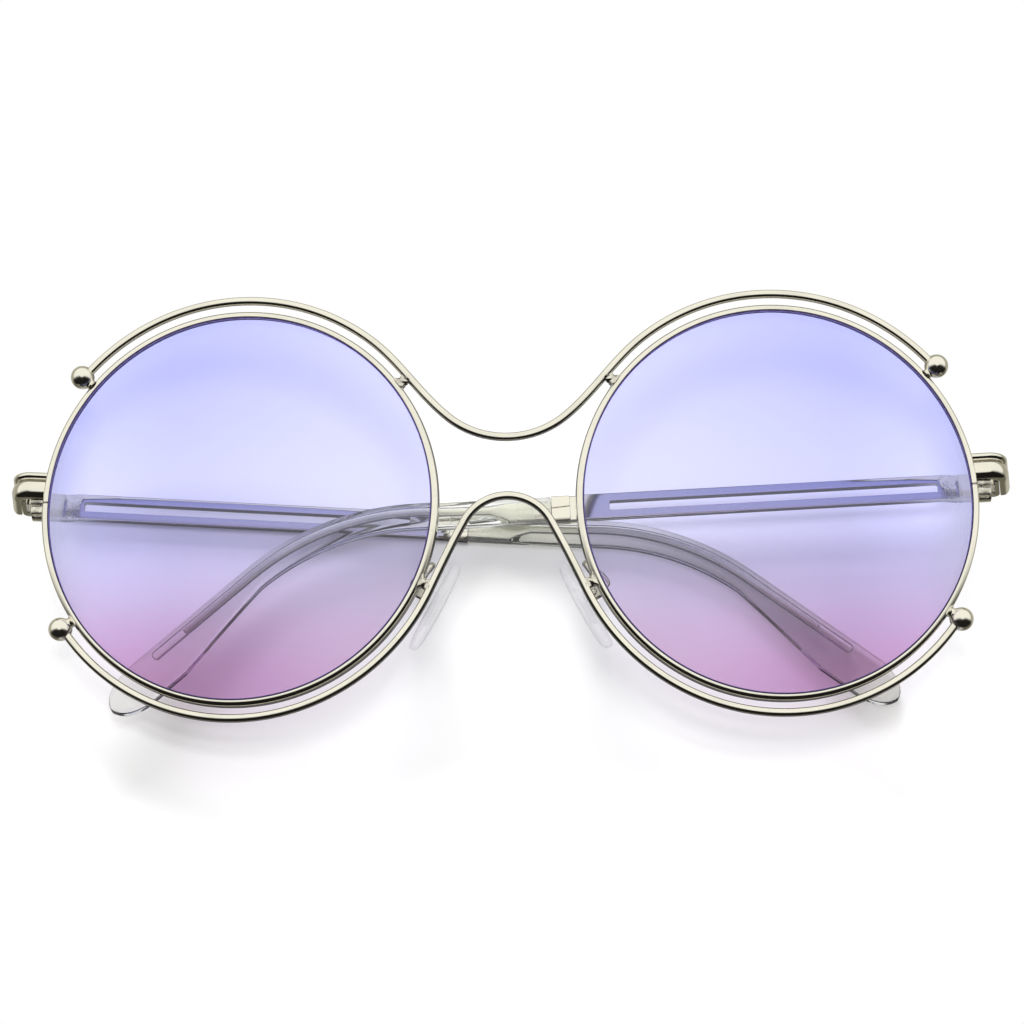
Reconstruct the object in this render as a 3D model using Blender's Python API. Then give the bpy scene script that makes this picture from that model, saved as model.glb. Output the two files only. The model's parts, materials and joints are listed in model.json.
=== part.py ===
"""Round double-wire sunglasses, folded, lying on the lower temple.

World frame: +X to the wearer's front right as seen from the front, +Y from the lower rims to the
brow, +Z up from the table, metres. The lower temple's flat outer side lies on Z = 0.
The front leans by the pantoscopic tilt against the plane of the folded temples, and its right
side stands a little higher because only the left temple lies on the table.
Each mirrored piece is drawn once, for the left side, in a frame whose X points to the right.
"""

import math

import bmesh
import bpy
from mathutils import Matrix, Vector

MM = 0.001
LEFT = -1
RIGHT = 1
SIDE_NAMES = {LEFT: "left", RIGHT: "right"}

# Fits
SOLDER_GAP = 0.06 * MM
RUNNING_GAP = 0.05 * MM
SEAT_GAP = 0.08 * MM
CUT_OVERRUN = 1.0 * MM
WELD_DISTANCE = 0.001 * MM
SHARP_ANGLE = math.radians(35.0)
ROUNDED_ANGLE = math.radians(50.0)
ROUND_SEGMENTS = 16
HALF_ROUND_SEGMENTS = 8
BALL_LEVELS = 10

# Lens rims
RIM_OPENING_RADIUS = 28.0 * MM
RIM_WIDTH = 0.95 * MM
RIM_DEPTH = 1.9 * MM
RIM_ROUNDING = 0.24 * MM
GROOVE_DEPTH = 0.45 * MM
GROOVE_WIDTH = 0.66 * MM
NOSE_HALF_GAP = 9.65 * MM
FACE_WRAP = math.radians(6.74)
PANTOSCOPIC_TILT = math.radians(8.0)
RIM_STEPS = 76

# Lenses
LENS_THICKNESS = 1.8 * MM
LENS_CURVE_RADIUS = 150.0 * MM
LENS_SEGMENTS = 56
LENS_RINGS = 3

# Outer wires
OUTER_WIRE_RADIUS = 0.58 * MM
OUTER_WIRE_STANDOFF = 1.65 * MM
BROW_BALL_ANGLE = math.radians(41.0)
LOWER_BALL_ANGLE = math.radians(-33.0)
BROW_LEAVE_ANGLE = math.radians(128.0)
LOWER_LEAVE_ANGLE = math.radians(-155.0)
BROW_DIP_SHARE = 0.3075
BROW_DIP_RADIUS = 12.8 * MM
BROW_DIP_SWEEP = math.radians(42.0)
ARCH_HEIGHT = 0.35 * MM
ARCH_RADIUS = 7.0 * MM
ARCH_SWEEP = math.radians(62.0)
BRIDGE_BLEND_HALF = 10.0 * MM
WIRE_ARC_STEPS = 22
WIRE_BRIDGE_STEPS = 8

# Ball ends and studs
BALL_RADIUS = 1.7 * MM
BALL_NECK_LENGTH = 0.2 * MM
BALL_NECK_RADIUS = 0.75 * MM
BROW_STUD_ANGLE = math.radians(143.5)
LOWER_STUD_ANGLE = math.radians(-155.8)
STUD_WIDTH = 1.5 * MM
STUD_DEPTH = 1.1 * MM
STUD_ROUNDING = 0.2 * MM

# Endpieces and where the hinges stand
LEFT_HINGE_HEIGHT = 5.2 * MM
RIGHT_HINGE_HEIGHT = 6.3 * MM
HINGE_OUTBOARD = 3.1 * MM
LEG_SPLAY = math.radians(6.0)
ENDPIECE_LENGTH = 8.4 * MM
ENDPIECE_HEIGHT = 3.95 * MM
ENDPIECE_THICKNESS = 1.45 * MM
ENDPIECE_CORNER_RADIUS = 3.0 * MM
RIDGE_RELIEF = 0.4 * MM
GROOVE_HEIGHT_SHARE = 0.22
GROOVE_HALF_SHARE = 0.06
UPPER_RIDGE_SHARE = 0.44
LOWER_RIDGE_SHARE = 0.38
CORNER_STEPS = 8

# Closing blocks, which clamp each rim round its lens
SPLIT_DROP = 3.4 * MM
BLOCK_RADIAL = 2.0 * MM
UPPER_BLOCK_HEIGHT = 1.75 * MM
LOWER_BLOCK_HEIGHT = 1.15 * MM
BLOCK_DEPTH = 2.3 * MM
BLOCK_ROUNDING = 0.15 * MM
RIM_SPLIT = 0.3 * MM
CLOSING_SCREW_RADIUS = 0.4 * MM
CLOSING_HEAD_RADIUS = 0.75 * MM
CLOSING_HEAD_HEIGHT = 0.5 * MM

# Hinges
KNUCKLE_RADIUS = 1.05 * MM
KNUCKLE_HEIGHT = 1.1 * MM
HINGE_PLATE_LENGTH = 5.0 * MM
HINGE_PLATE_THICKNESS = 0.6 * MM
HINGE_RELIEF = 1.3 * MM
HINGE_SCREW_RADIUS = 0.45 * MM
HINGE_HEAD_RADIUS = 0.95 * MM
HINGE_HEAD_HEIGHT = 0.45 * MM
HINGE_SCREW_TAIL = 0.12 * MM
SCREW_SLOT_WIDTH = 0.22 * MM
SCREW_SLOT_DEPTH = 0.2 * MM

# Temples
FRONT_ROLL = math.radians(1.2)
LEFT_LEAN = math.radians(3.45)
RIGHT_LEAN = math.radians(3.0)
STRIP_HEIGHT = 3.8 * MM
STRIP_THICKNESS = 1.25 * MM
STRIP_END = 63.9 * MM
STRIP_ROUNDING = 0.13 * MM
FERRULE_LENGTH = 2.7 * MM
FERRULE_THICKNESS = 1.5 * MM
FERRULE_HEIGHT = 3.95 * MM
END_GAP = 0.06 * MM
SLOT_START = 7.9 * MM
SLOT_END = 55.4 * MM
SLOT_HEIGHT = 1.45 * MM
SLOT_CORNER_RADIUS = 0.25 * MM
SLOT_CORNER_STEPS = 2
RAMP_LENGTH = 1.9 * MM
TIP_START_GAP = 0.08 * MM
TIP_THICKNESS = 2.7 * MM
TIP_OUTER_HALF = 1.85 * MM
TIP_INNER_HALF_AT_BEND = 1.7 * MM
TIP_INNER_HALF_AT_END = 4.2 * MM
TIP_ROUNDING = 0.75 * MM
TIP_CORNER_STEPS = 3
TIP_CORNER_SHARE = 0.45
TIP_LIP = 0.2 * MM
TIP_END_THINNING_SHARE = 0.3
BEND_START = 83.9 * MM
BEND_RADIUS = 37.0 * MM
BEND_ANGLES = {LEFT: math.radians(33.6), RIGHT: math.radians(39.2)}
BEND_STEPS = 9
HOOK_LENGTH = 28.0 * MM
HOOK_FLARE_LENGTH = 16.5 * MM
HOOK_ROUND_LENGTH = 5.5 * MM
HOOK_STEPS = 3
HOOK_END_STEPS = 5
STACK_GAP = 0.2 * MM

# Core wires inside the clear tips
BLADE_LENGTH = 6.0 * MM
BLADE_HEIGHT = 2.4 * MM
BLADE_TAPER_LENGTH = 3.0 * MM
CORE_THICKNESS = 0.8 * MM
CORE_WIRE_HEIGHT = 1.2 * MM
OCTAGON_CORNER_SHARE = 0.586
CORE_RISE = 0.6 * MM
CORE_REACH = 12.5 * MM
CORE_BORE_REACH = 18.0 * MM

# Nose pads
PAD_PIVOT_ACROSS = 12.0 * MM
PAD_PIVOT_DROP = 11.4 * MM
PAD_PIVOT_SETBACK = 7.6 * MM
PAD_TILT = math.radians(28.0)
PAD_SPLAY = math.radians(14.0)
PAD_LENGTH = 13.6 * MM
PAD_WIDTH = 8.0 * MM
PAD_THICKNESS = 2.3 * MM
PAD_DROP = 1.2 * MM
PAD_STANDOFF = 2.1 * MM
PAD_TOP_TAPER_SHARE = 0.22
PAD_END_SHARE = 0.85
PAD_EDGE_SHARE = 0.45
PAD_SECTION_SHARE = 0.75
PAD_RINGS = 10
PAD_SEGMENTS = 20
INSERT_LENGTH = 5.6 * MM
INSERT_WIDTH = 3.0 * MM
INSERT_THICKNESS = 0.5 * MM
TAB_WIDTH = 1.1 * MM
TAB_RADIUS = 0.8 * MM
TAB_END_STEPS = 8
PAD_SCREW_RADIUS = 0.35 * MM
PAD_SCREW_HEAD_RADIUS = 0.65 * MM
PAD_SCREW_HEAD_HEIGHT = 0.35 * MM
BOX_WALL = 0.4 * MM
BOX_HALF_HEIGHT = 1.1 * MM
BOX_FRONT = 0.6 * MM
BOX_REAR_CLEARANCE = 0.25 * MM
ARM_RADIUS = 0.45 * MM
ARM_LANDING = 0.9 * MM
ARM_LOOP_WIDTH = 1.6 * MM
ARM_LOOP_RISE = 3.2 * MM
ARM_LOOP_DEPTH = 7.2 * MM
ARM_LOOP_SHARES = [(0.4375, 0.5, 17 / 72), (1, 1, 33 / 72), (0.625, 0.9375, 0.75),
                   (-0.4375, 0.65625, 1)]
ARM_STEPS = 4

# Sizes that follow from the ones above
RIM_OUTER_RADIUS = RIM_OPENING_RADIUS + RIM_WIDTH
LENS_CENTRE_OFFSET = RIM_OUTER_RADIUS + NOSE_HALF_GAP
BROW_DIP_HEIGHT = BROW_DIP_SHARE * RIM_OUTER_RADIUS
HINGE_HEIGHTS = {LEFT: LEFT_HINGE_HEIGHT, RIGHT: RIGHT_HINGE_HEIGHT}
WIRE_RING_RADIUS = RIM_OUTER_RADIUS + OUTER_WIRE_STANDOFF
BALL_RING_RADIUS = RIM_OUTER_RADIUS + SOLDER_GAP + BALL_NECK_LENGTH + BALL_RADIUS
AXIS_INSET = ENDPIECE_THICKNESS + SOLDER_GAP + KNUCKLE_RADIUS
TIP_CENTRE_Z = -AXIS_INSET + TIP_THICKNESS / 2
TIP_START = STRIP_END + TIP_START_GAP
KNUCKLE_GAP = RUNNING_GAP


def on_lens_plane(side, radius, angle, forward):
    """Point of a lens ring in the front's frame. The angle starts at the temple side, going up."""
    across = radius * math.cos(angle)
    local = Vector((side * across, radius * math.sin(angle), forward))
    return lens_matrix(side) @ local


def lens_matrix(side):
    """Frame of one lens: its centre, turned back at the temple side by the face wrap."""
    place = Matrix.Translation((side * LENS_CENTRE_OFFSET, 0, 0))
    return place @ Matrix.Rotation(side * FACE_WRAP, 4, "Y")


def tilt_matrix():
    """The front's plane against the folded temples: the lower rims stand nearer the temples."""
    return Matrix.Rotation(PANTOSCOPIC_TILT, 4, "X")


def hinge_place(side):
    """Hinge centre in the worn frame, behind and outside the rim's temple end."""
    on_rim = math.asin(HINGE_HEIGHTS[side] / RIM_OUTER_RADIUS)
    rim_end = tilt_matrix() @ on_lens_plane(side, RIM_OUTER_RADIUS, on_rim, 0)
    across = rim_end.x + side * HINGE_OUTBOARD
    return Vector((across, HINGE_HEIGHTS[side], rim_end.z - ENDPIECE_LENGTH))


def worn_matrix():
    """The whole front in the world: rolled so that only the left temple lies on the table.

    Y = 0 is where the lower temple's centre line crosses X = 0.
    """
    roll = Matrix.Rotation(-FRONT_ROLL, 4, "Y")
    left_axis = roll @ hinge_place(LEFT)
    forward = -left_axis.x * math.tan(LEFT_LEAN) - left_axis.y
    return Matrix.Translation((0, forward, AXIS_INSET - left_axis.z)) @ roll


def right_temple_drop():
    """Slope at which the upper temple just clears the lower one where both tips cross."""
    axis = worn_matrix() @ hinge_place(RIGHT)
    crossing = (axis - worn_matrix() @ hinge_place(LEFT)).x - TIP_START
    under_side = axis.z + TIP_CENTRE_Z - TIP_THICKNESS / 2
    return math.asin((under_side - TIP_THICKNESS - STACK_GAP) / crossing)


def hinge_matrix(side, swing):
    """Frame on a hinge axis: Y along the axis, X to the right, swung by an angle about Y."""
    lean = -LEFT_LEAN if side == LEFT else RIGHT_LEAN
    place = Matrix.Translation(worn_matrix() @ hinge_place(side))
    return place @ Matrix.Rotation(lean, 4, "Z") @ Matrix.Rotation(-swing, 4, "Y")


def front_hinge_matrix(side):
    """Hinge frame of the endpiece, whose leg splays outwards as it runs back from the front."""
    return hinge_matrix(side, FRONT_ROLL + side * LEG_SPLAY)


def temple_matrix(side):
    """Hinge frame of the folded temple."""
    return hinge_matrix(side, 0 if side == LEFT else right_temple_drop())


def pad_matrix(side):
    """Frame on a nose pad's screw: Y along the pad, X towards the right, Z along the screw."""
    pivot = Vector((side * PAD_PIVOT_ACROSS, -PAD_PIVOT_DROP, -PAD_PIVOT_SETBACK))
    turn = Matrix.Rotation(side * PAD_TILT, 4, "Z") @ Matrix.Rotation(-side * PAD_SPLAY, 4, "Y")
    return worn_matrix() @ tilt_matrix() @ Matrix.Translation(pivot) @ turn


def clear_scene():
    """Remove what the file opens with."""
    for item in list(bpy.data.objects):
        bpy.data.objects.remove(item, do_unlink=True)


def finish_material(name, colour, roughness, metallic, alpha):
    """Principled finish of one piece."""
    finish = bpy.data.materials.new(name)
    finish.use_nodes = True
    shader = finish.node_tree.nodes["Principled BSDF"]
    shader.inputs["Base Color"].default_value = (*colour, 1.0)
    shader.inputs["Roughness"].default_value = roughness
    shader.inputs["Metallic"].default_value = metallic
    shader.inputs["Alpha"].default_value = alpha
    finish.diffuse_color = (*colour, alpha)
    return finish


def silver(name):
    """Polished pale nickel silver."""
    return finish_material(name, (0.86, 0.84, 0.78), 0.12, 1.0, 1.0)


def clear_plastic(name):
    """Water-clear temple tip plastic."""
    return finish_material(name, (0.93, 0.95, 0.96), 0.08, 0.0, 0.35)


def clear_silicone(name):
    """Soft clear silicone of the nose pads."""
    return finish_material(name, (0.95, 0.96, 0.97), 0.2, 0.0, 0.35)


def tinted_lens(name):
    """Periwinkle blue lens tint, which turns pink towards the lower rim."""
    return finish_material(name, (0.72, 0.70, 0.92), 0.03, 0.0, 0.45)


def add_empty(name, matrix, parent=None):
    """Axes that pieces are parented to."""
    empty = bpy.data.objects.new(name, None)
    bpy.context.collection.objects.link(empty)
    empty.empty_display_size = KNUCKLE_RADIUS
    empty.parent = parent
    empty.matrix_local = matrix
    return empty


def add_object(name, data, finish, parent):
    """Link one named piece, with its own finish, under its axes."""
    item = bpy.data.objects.new(name, data)
    bpy.context.collection.objects.link(item)
    item.parent = parent
    data.materials.append(finish(name + "_finish"))
    return item


def mesh_piece(name, shape, finish, parent, side=LEFT):
    """Turn a bmesh into a piece. The right side takes the left shape's mirror image."""
    if side == RIGHT:
        bmesh.ops.scale(shape, vec=(-1, 1, 1), verts=shape.verts)
    bmesh.ops.recalc_face_normals(shape, faces=shape.faces)
    data = bpy.data.meshes.new(name)
    shape.to_mesh(data)
    shape.free()
    data.shade_smooth()
    data.set_sharp_from_angle(angle=SHARP_ANGLE)
    return add_object(name, data, finish, parent)


def add_tool(name, shape, parent, side=LEFT):
    """A hidden body that a Boolean uses."""
    tool = mesh_piece(name, shape, silver, parent, side)
    tool.hide_render = True
    tool.display_type = "WIRE"
    return tool


def boolean(item, tool, operation):
    """Cut or join a piece with a hidden tool body."""
    step = item.modifiers.new(operation.title(), "BOOLEAN")
    step.operation = operation
    step.object = tool


def round_edges(item, width):
    """Small bevel on the sharp edges of a piece."""
    step = item.modifiers.new("Rounding", "BEVEL")
    step.width = width
    step.segments = 2
    step.limit_method = "ANGLE"
    step.angle_limit = ROUNDED_ANGLE


def wire_piece(name, points, radius, parent, finish=silver, sides=2):
    """Round wire along a row of points, with filled ends."""
    data = bpy.data.curves.new(name, "CURVE")
    data.dimensions = "3D"
    data.bevel_depth = radius
    data.bevel_resolution = sides
    data.use_fill_caps = True
    line = data.splines.new("POLY")
    line.points.add(len(points) - 1)
    for knot, point in zip(line.points, points):
        knot.co = (*point, 1.0)
    return add_object(name, data, finish, parent)


def block_shape(low, high):
    """Box between two corners."""
    low = Vector(low)
    high = Vector(high)
    shape = bmesh.new()
    bmesh.ops.create_cube(shape, size=1)
    size = high - low
    bmesh.ops.scale(shape, vec=size, verts=shape.verts)
    bmesh.ops.translate(shape, vec=(low + high) / 2, verts=shape.verts)
    return shape


def rod_shape(radius, low, high, axis="Y", place=(0, 0, 0), segments=ROUND_SEGMENTS):
    """Cylinder along an axis from low to high."""
    shape = bmesh.new()
    bmesh.ops.create_cone(shape, cap_ends=True, segments=segments, radius1=radius,
                          radius2=radius, depth=high - low)
    middle = (low + high) / 2
    bmesh.ops.translate(shape, vec=(0, 0, middle), verts=shape.verts)
    turns = {"X": Matrix.Rotation(math.pi / 2, 3, "Y"), "Y": Matrix.Rotation(-math.pi / 2, 3, "X"),
             "Z": Matrix.Identity(3)}
    bmesh.ops.rotate(shape, cent=(0, 0, 0), matrix=turns[axis], verts=shape.verts)
    bmesh.ops.translate(shape, vec=place, verts=shape.verts)
    return shape


def merge_shapes(*shapes):
    """Put several shapes into one bmesh as loose bodies."""
    whole = bmesh.new()
    for shape in shapes:
        data = bpy.data.meshes.new("merge")
        shape.to_mesh(data)
        whole.from_mesh(data)
        bpy.data.meshes.remove(data)
        shape.free()
    return whole


def prism_shape(outline, low, high):
    """Extrude an outline of (x, z) points along Y."""
    shape = bmesh.new()
    ring = [shape.verts.new((x, low, z)) for x, z in outline]
    face = shape.faces.new(ring)
    grown = bmesh.ops.extrude_face_region(shape, geom=[face])
    moved = [part for part in grown["geom"] if isinstance(part, bmesh.types.BMVert)]
    bmesh.ops.translate(shape, vec=(0, high - low, 0), verts=moved)
    return shape


def loft_shape(rings):
    """Skin over closed rings of equally many points, with capped ends."""
    shape = bmesh.new()
    loops = [[shape.verts.new(point) for point in ring] for ring in rings]
    count = len(loops[0])
    for first, second in zip(loops, loops[1:]):
        for i in range(count):
            j = (i + 1) % count
            shape.faces.new((first[i], first[j], second[j], second[i]))
    shape.faces.new(loops[0])
    shape.faces.new(list(reversed(loops[-1])))
    return shape


def spun_shape(profile, start, sweep, steps):
    """Closed (radius, forward) profile carried round Z, with capped ends."""
    rings = []
    for i in range(steps + 1):
        turn = start + sweep * i / steps
        rings.append([(r * math.cos(turn), r * math.sin(turn), z) for r, z in profile])
    return loft_shape(rings)


def turned_shape(profile, segments):
    """Open profile from axis to axis, turned fully round Z."""
    shape = bmesh.new()
    knots = [shape.verts.new((r, 0, z)) for r, z in profile]
    edges = [shape.edges.new(pair) for pair in zip(knots, knots[1:])]
    bmesh.ops.spin(shape, geom=knots + edges, cent=(0, 0, 0), axis=(0, 0, 1),
                   angle=math.tau, steps=segments)
    bmesh.ops.remove_doubles(shape, verts=shape.verts, dist=WELD_DISTANCE)
    return shape


def rim_profile():
    """Section of the rim wire: rounded outside, with the lens groove inside."""
    inner = RIM_OPENING_RADIUS
    outer = RIM_OUTER_RADIUS
    middle = -RIM_DEPTH / 2
    corner = RIM_ROUNDING
    lip = corner / 2
    return [(inner + lip, 0), (outer - corner, 0), (outer, -corner), (outer, corner - RIM_DEPTH),
            (outer - corner, -RIM_DEPTH), (inner + lip, -RIM_DEPTH), (inner, lip - RIM_DEPTH),
            (inner, middle - GROOVE_WIDTH / 2), (inner + GROOVE_DEPTH, middle),
            (inner, middle + GROOVE_WIDTH / 2), (inner, -lip)]


def split_height(side):
    """Height of the rim's split over the lens centre."""
    return HINGE_HEIGHTS[side] - SPLIT_DROP


def build_rim(side, parent):
    """Rim wire, split where the closing blocks clamp it."""
    half_split = RIM_SPLIT / 2 / RIM_OUTER_RADIUS
    start = math.pi - math.asin(split_height(side) / RIM_OUTER_RADIUS) + half_split
    shape = spun_shape(rim_profile(), start, math.tau - 2 * half_split, RIM_STEPS)
    mesh_piece(f"{SIDE_NAMES[side]}_eyewire", shape, silver, parent, side)


def lens_profile():
    """Section of the lens: two curved faces and the bevel that sits in the rim's groove."""
    edge = RIM_OPENING_RADIUS - RUNNING_GAP
    apex = RIM_OPENING_RADIUS + GROOVE_DEPTH - SEAT_GAP
    middle = -RIM_DEPTH / 2
    half_bevel = GROOVE_WIDTH / 2 - RUNNING_GAP
    sag_at_edge = LENS_CURVE_RADIUS - math.sqrt(LENS_CURVE_RADIUS ** 2 - edge ** 2)
    front = []
    back = []
    for i in range(LENS_RINGS + 1):
        radius = edge * i / LENS_RINGS
        sag = LENS_CURVE_RADIUS - math.sqrt(LENS_CURVE_RADIUS ** 2 - radius ** 2)
        crown = middle + sag_at_edge - sag
        front.append((radius, crown + LENS_THICKNESS / 2))
        back.append((radius, crown - LENS_THICKNESS / 2))
    bevel = [(edge, middle + half_bevel), (apex, middle), (edge, middle - half_bevel)]
    return front + bevel + list(reversed(back))


def build_lens(side, parent):
    """Round tinted lens."""
    shape = turned_shape(lens_profile(), LENS_SEGMENTS)
    mesh_piece(f"{SIDE_NAMES[side]}_lens", shape, tinted_lens, parent, side)


def bridge_depth(across):
    """Forward place of an outer wire's centre line, which rounds off the fold at the nose."""
    reach = abs(across)
    if reach < BRIDGE_BLEND_HALF:
        reach = (reach ** 2 + BRIDGE_BLEND_HALF ** 2) / (2 * BRIDGE_BLEND_HALF)
    run = LENS_CENTRE_OFFSET - reach
    return run * math.tan(FACE_WRAP) - OUTER_WIRE_RADIUS / math.cos(FACE_WRAP)


def bezier_points(start, start_pull, end_pull, end, count):
    """Points inside a cubic curve between two ends."""
    points = []
    for i in range(1, count):
        t = i / count
        s = 1 - t
        points.append(s ** 3 * start + 3 * s * s * t * start_pull
                      + 3 * s * t * t * end_pull + t ** 3 * end)
    return points


def wire_half(ball_angle, leave_angle, crest, radius, sweep, turn):
    """Right half of an outer wire, ball to nose: ring arc, easy curve, bridge arc.

    crest is the height of the bridge arc's middle, and turn is 1 where the arc's centre is
    above the wire, -1 where it is below.
    """
    ring = []
    clearance = math.asin((BALL_RADIUS + SOLDER_GAP) / WIRE_RING_RADIUS)
    first = ball_angle + math.copysign(clearance, leave_angle - ball_angle)
    for i in range(WIRE_ARC_STEPS + 1):
        angle = first + (leave_angle - first) * i / WIRE_ARC_STEPS
        place = on_lens_plane(RIGHT, WIRE_RING_RADIUS, angle, -OUTER_WIRE_RADIUS)
        ring.append(Vector((place.x, place.y)))
    arc = []
    for i in range(WIRE_BRIDGE_STEPS + 1):
        angle = sweep * (1 - i / WIRE_BRIDGE_STEPS)
        rise = radius * (1 - math.cos(angle))
        arc.append(Vector((radius * math.sin(angle), crest + turn * rise)))
    leave = ring[-1]
    meet = arc[0]
    pull = (leave - meet).length / 3
    heading = (ring[-1] - ring[-2]).normalized()
    arriving = (arc[1] - arc[0]).normalized()
    between = bezier_points(leave, leave + pull * heading, meet - pull * arriving, meet,
                            WIRE_BRIDGE_STEPS)
    return ring + between + arc


def whole_wire(half):
    """Mirror the right half of a wire to the left and lay both on the front's surface."""
    flat = half + [Vector((-p.x, p.y)) for p in reversed(half[:-1])]
    return [Vector((p.x, p.y, bridge_depth(p.x))) for p in flat]


def brow_points():
    """Centre line of the brow wire."""
    return whole_wire(wire_half(BROW_BALL_ANGLE, BROW_LEAVE_ANGLE, BROW_DIP_HEIGHT,
                                BROW_DIP_RADIUS, BROW_DIP_SWEEP, 1))


def lower_points():
    """Centre line of the lower wire."""
    return whole_wire(wire_half(LOWER_BALL_ANGLE, LOWER_LEAVE_ANGLE, ARCH_HEIGHT,
                                ARCH_RADIUS, ARCH_SWEEP, -1))


def ball_shape(angle):
    """Ball with its neck, in the left lens frame, standing on the rim at an angle."""
    shape = bmesh.new()
    bmesh.ops.create_uvsphere(shape, u_segments=ROUND_SEGMENTS, v_segments=BALL_LEVELS,
                              radius=BALL_RADIUS)
    bmesh.ops.translate(shape, vec=(BALL_RING_RADIUS, 0, -OUTER_WIRE_RADIUS), verts=shape.verts)
    bmesh.ops.rotate(shape, cent=(0, 0, 0), matrix=Matrix.Rotation(math.pi - angle, 3, "Z"),
                     verts=shape.verts)
    return shape


def neck_shape(angle):
    """Neck between a ball and the rim."""
    shape = rod_shape(BALL_NECK_RADIUS, RIM_OUTER_RADIUS + SOLDER_GAP, BALL_RING_RADIUS, "X",
                      (0, 0, -BALL_NECK_RADIUS), HALF_ROUND_SEGMENTS)
    bmesh.ops.rotate(shape, cent=(0, 0, 0), matrix=Matrix.Rotation(math.pi - angle, 3, "Z"),
                     verts=shape.verts)
    return shape


def build_ball(side, name, angle, parent):
    """Ball end of an outer wire, carried by the rim."""
    ball = mesh_piece(f"{SIDE_NAMES[side]}_{name}_ball", ball_shape(angle), silver, parent, side)
    neck = add_tool(f"{ball.name}_neck", neck_shape(angle), parent, side)
    boolean(ball, neck, "UNION")


def wire_distance(points, angle):
    """Distance from the lens centre to where the ray at an angle first crosses a wire."""
    inverse = lens_matrix(RIGHT).inverted()
    ray = Vector((math.cos(angle), math.sin(angle)))
    flats = []
    for place in points:
        local = inverse @ place
        flats.append(Vector((local.x, local.y)))
    crossings = []
    for first, second in zip(flats, flats[1:]):
        before = first.cross(ray)
        after = second.cross(ray)
        if before * after <= 0 and before != after:
            crossings.append(first.lerp(second, before / (before - after)).dot(ray))
    return min(crossing for crossing in crossings if crossing > 0)


def build_stud(side, name, angle, points, parent):
    """Solder stud between the rim and an outer wire, flush with both in front."""
    near = RIM_OUTER_RADIUS + SOLDER_GAP
    far = wire_distance(points, angle) - OUTER_WIRE_RADIUS - SOLDER_GAP
    shape = block_shape((near, -STUD_WIDTH / 2, -STUD_DEPTH), (far, STUD_WIDTH / 2, -STUD_ROUNDING))
    bmesh.ops.rotate(shape, cent=(0, 0, 0), matrix=Matrix.Rotation(math.pi - angle, 3, "Z"),
                     verts=shape.verts)
    stud = mesh_piece(f"{SIDE_NAMES[side]}_{name}_stud", shape, silver, parent, side)
    round_edges(stud, STUD_ROUNDING)


def endpiece_section():
    """(outward, height) section of the endpiece band: two ridges with a groove between."""
    height = ENDPIECE_HEIGHT
    groove = GROOVE_HEIGHT_SHARE * height
    half = GROOVE_HALF_SHARE * height
    low = -RIDGE_RELIEF
    return [(low, -height / 2), (0, -LOWER_RIDGE_SHARE * height), (0, groove - half), (low, groove),
            (0, groove + half), (0, UPPER_RIDGE_SHARE * height), (low / 2, height / 2),
            (-ENDPIECE_THICKNESS, height / 2), (-ENDPIECE_THICKNESS, -height / 2)]


def endpiece_path():
    """(x, z, outward x, outward z) along the band's outer face, rim end first.

    The corner turns a little less than square, by the splay of the leg.
    """
    outer = -AXIS_INSET
    radius = ENDPIECE_CORNER_RADIUS
    rim_x = HINGE_OUTBOARD + CUT_OVERRUN
    rise = math.tan(LEG_SPLAY)
    corner_z = ENDPIECE_LENGTH + outer * rise - radius * math.cos(LEG_SPLAY)
    path = [(rim_x, ENDPIECE_LENGTH + rim_x * rise, -math.sin(LEG_SPLAY), math.cos(LEG_SPLAY))]
    for i in range(CORNER_STEPS + 1):
        turn = LEG_SPLAY + (math.pi / 2 - LEG_SPLAY) * i / CORNER_STEPS
        out_x = -math.sin(turn)
        out_z = math.cos(turn)
        path.append((outer + radius + radius * out_x, corner_z + radius * out_z, out_x, out_z))
    path.append((outer, END_GAP, -1, 0))
    return path


def build_endpiece(side, parent, rim_cutter):
    """Ridged band that leaves the rim outwards and turns back to the hinge."""
    rings = []
    for x, z, out_x, out_z in endpiece_path():
        rings.append([(x + out * out_x, high, z + out * out_z)
                      for out, high in endpiece_section()])
    band = mesh_piece(f"{SIDE_NAMES[side]}_endpiece", loft_shape(rings), silver, parent, side)
    boolean(band, rim_cutter, "DIFFERENCE")


def build_rim_cutter(side, parent):
    """Cylinder that keeps the endpiece and the blocks off the rim."""
    shape = rod_shape(RIM_OUTER_RADIUS + SOLDER_GAP, -RIM_OUTER_RADIUS, RIM_OUTER_RADIUS, "Z",
                      segments=RIM_STEPS * 2)
    return add_tool(f"{SIDE_NAMES[side]}_rim_cutter", shape, parent, side)


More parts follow.
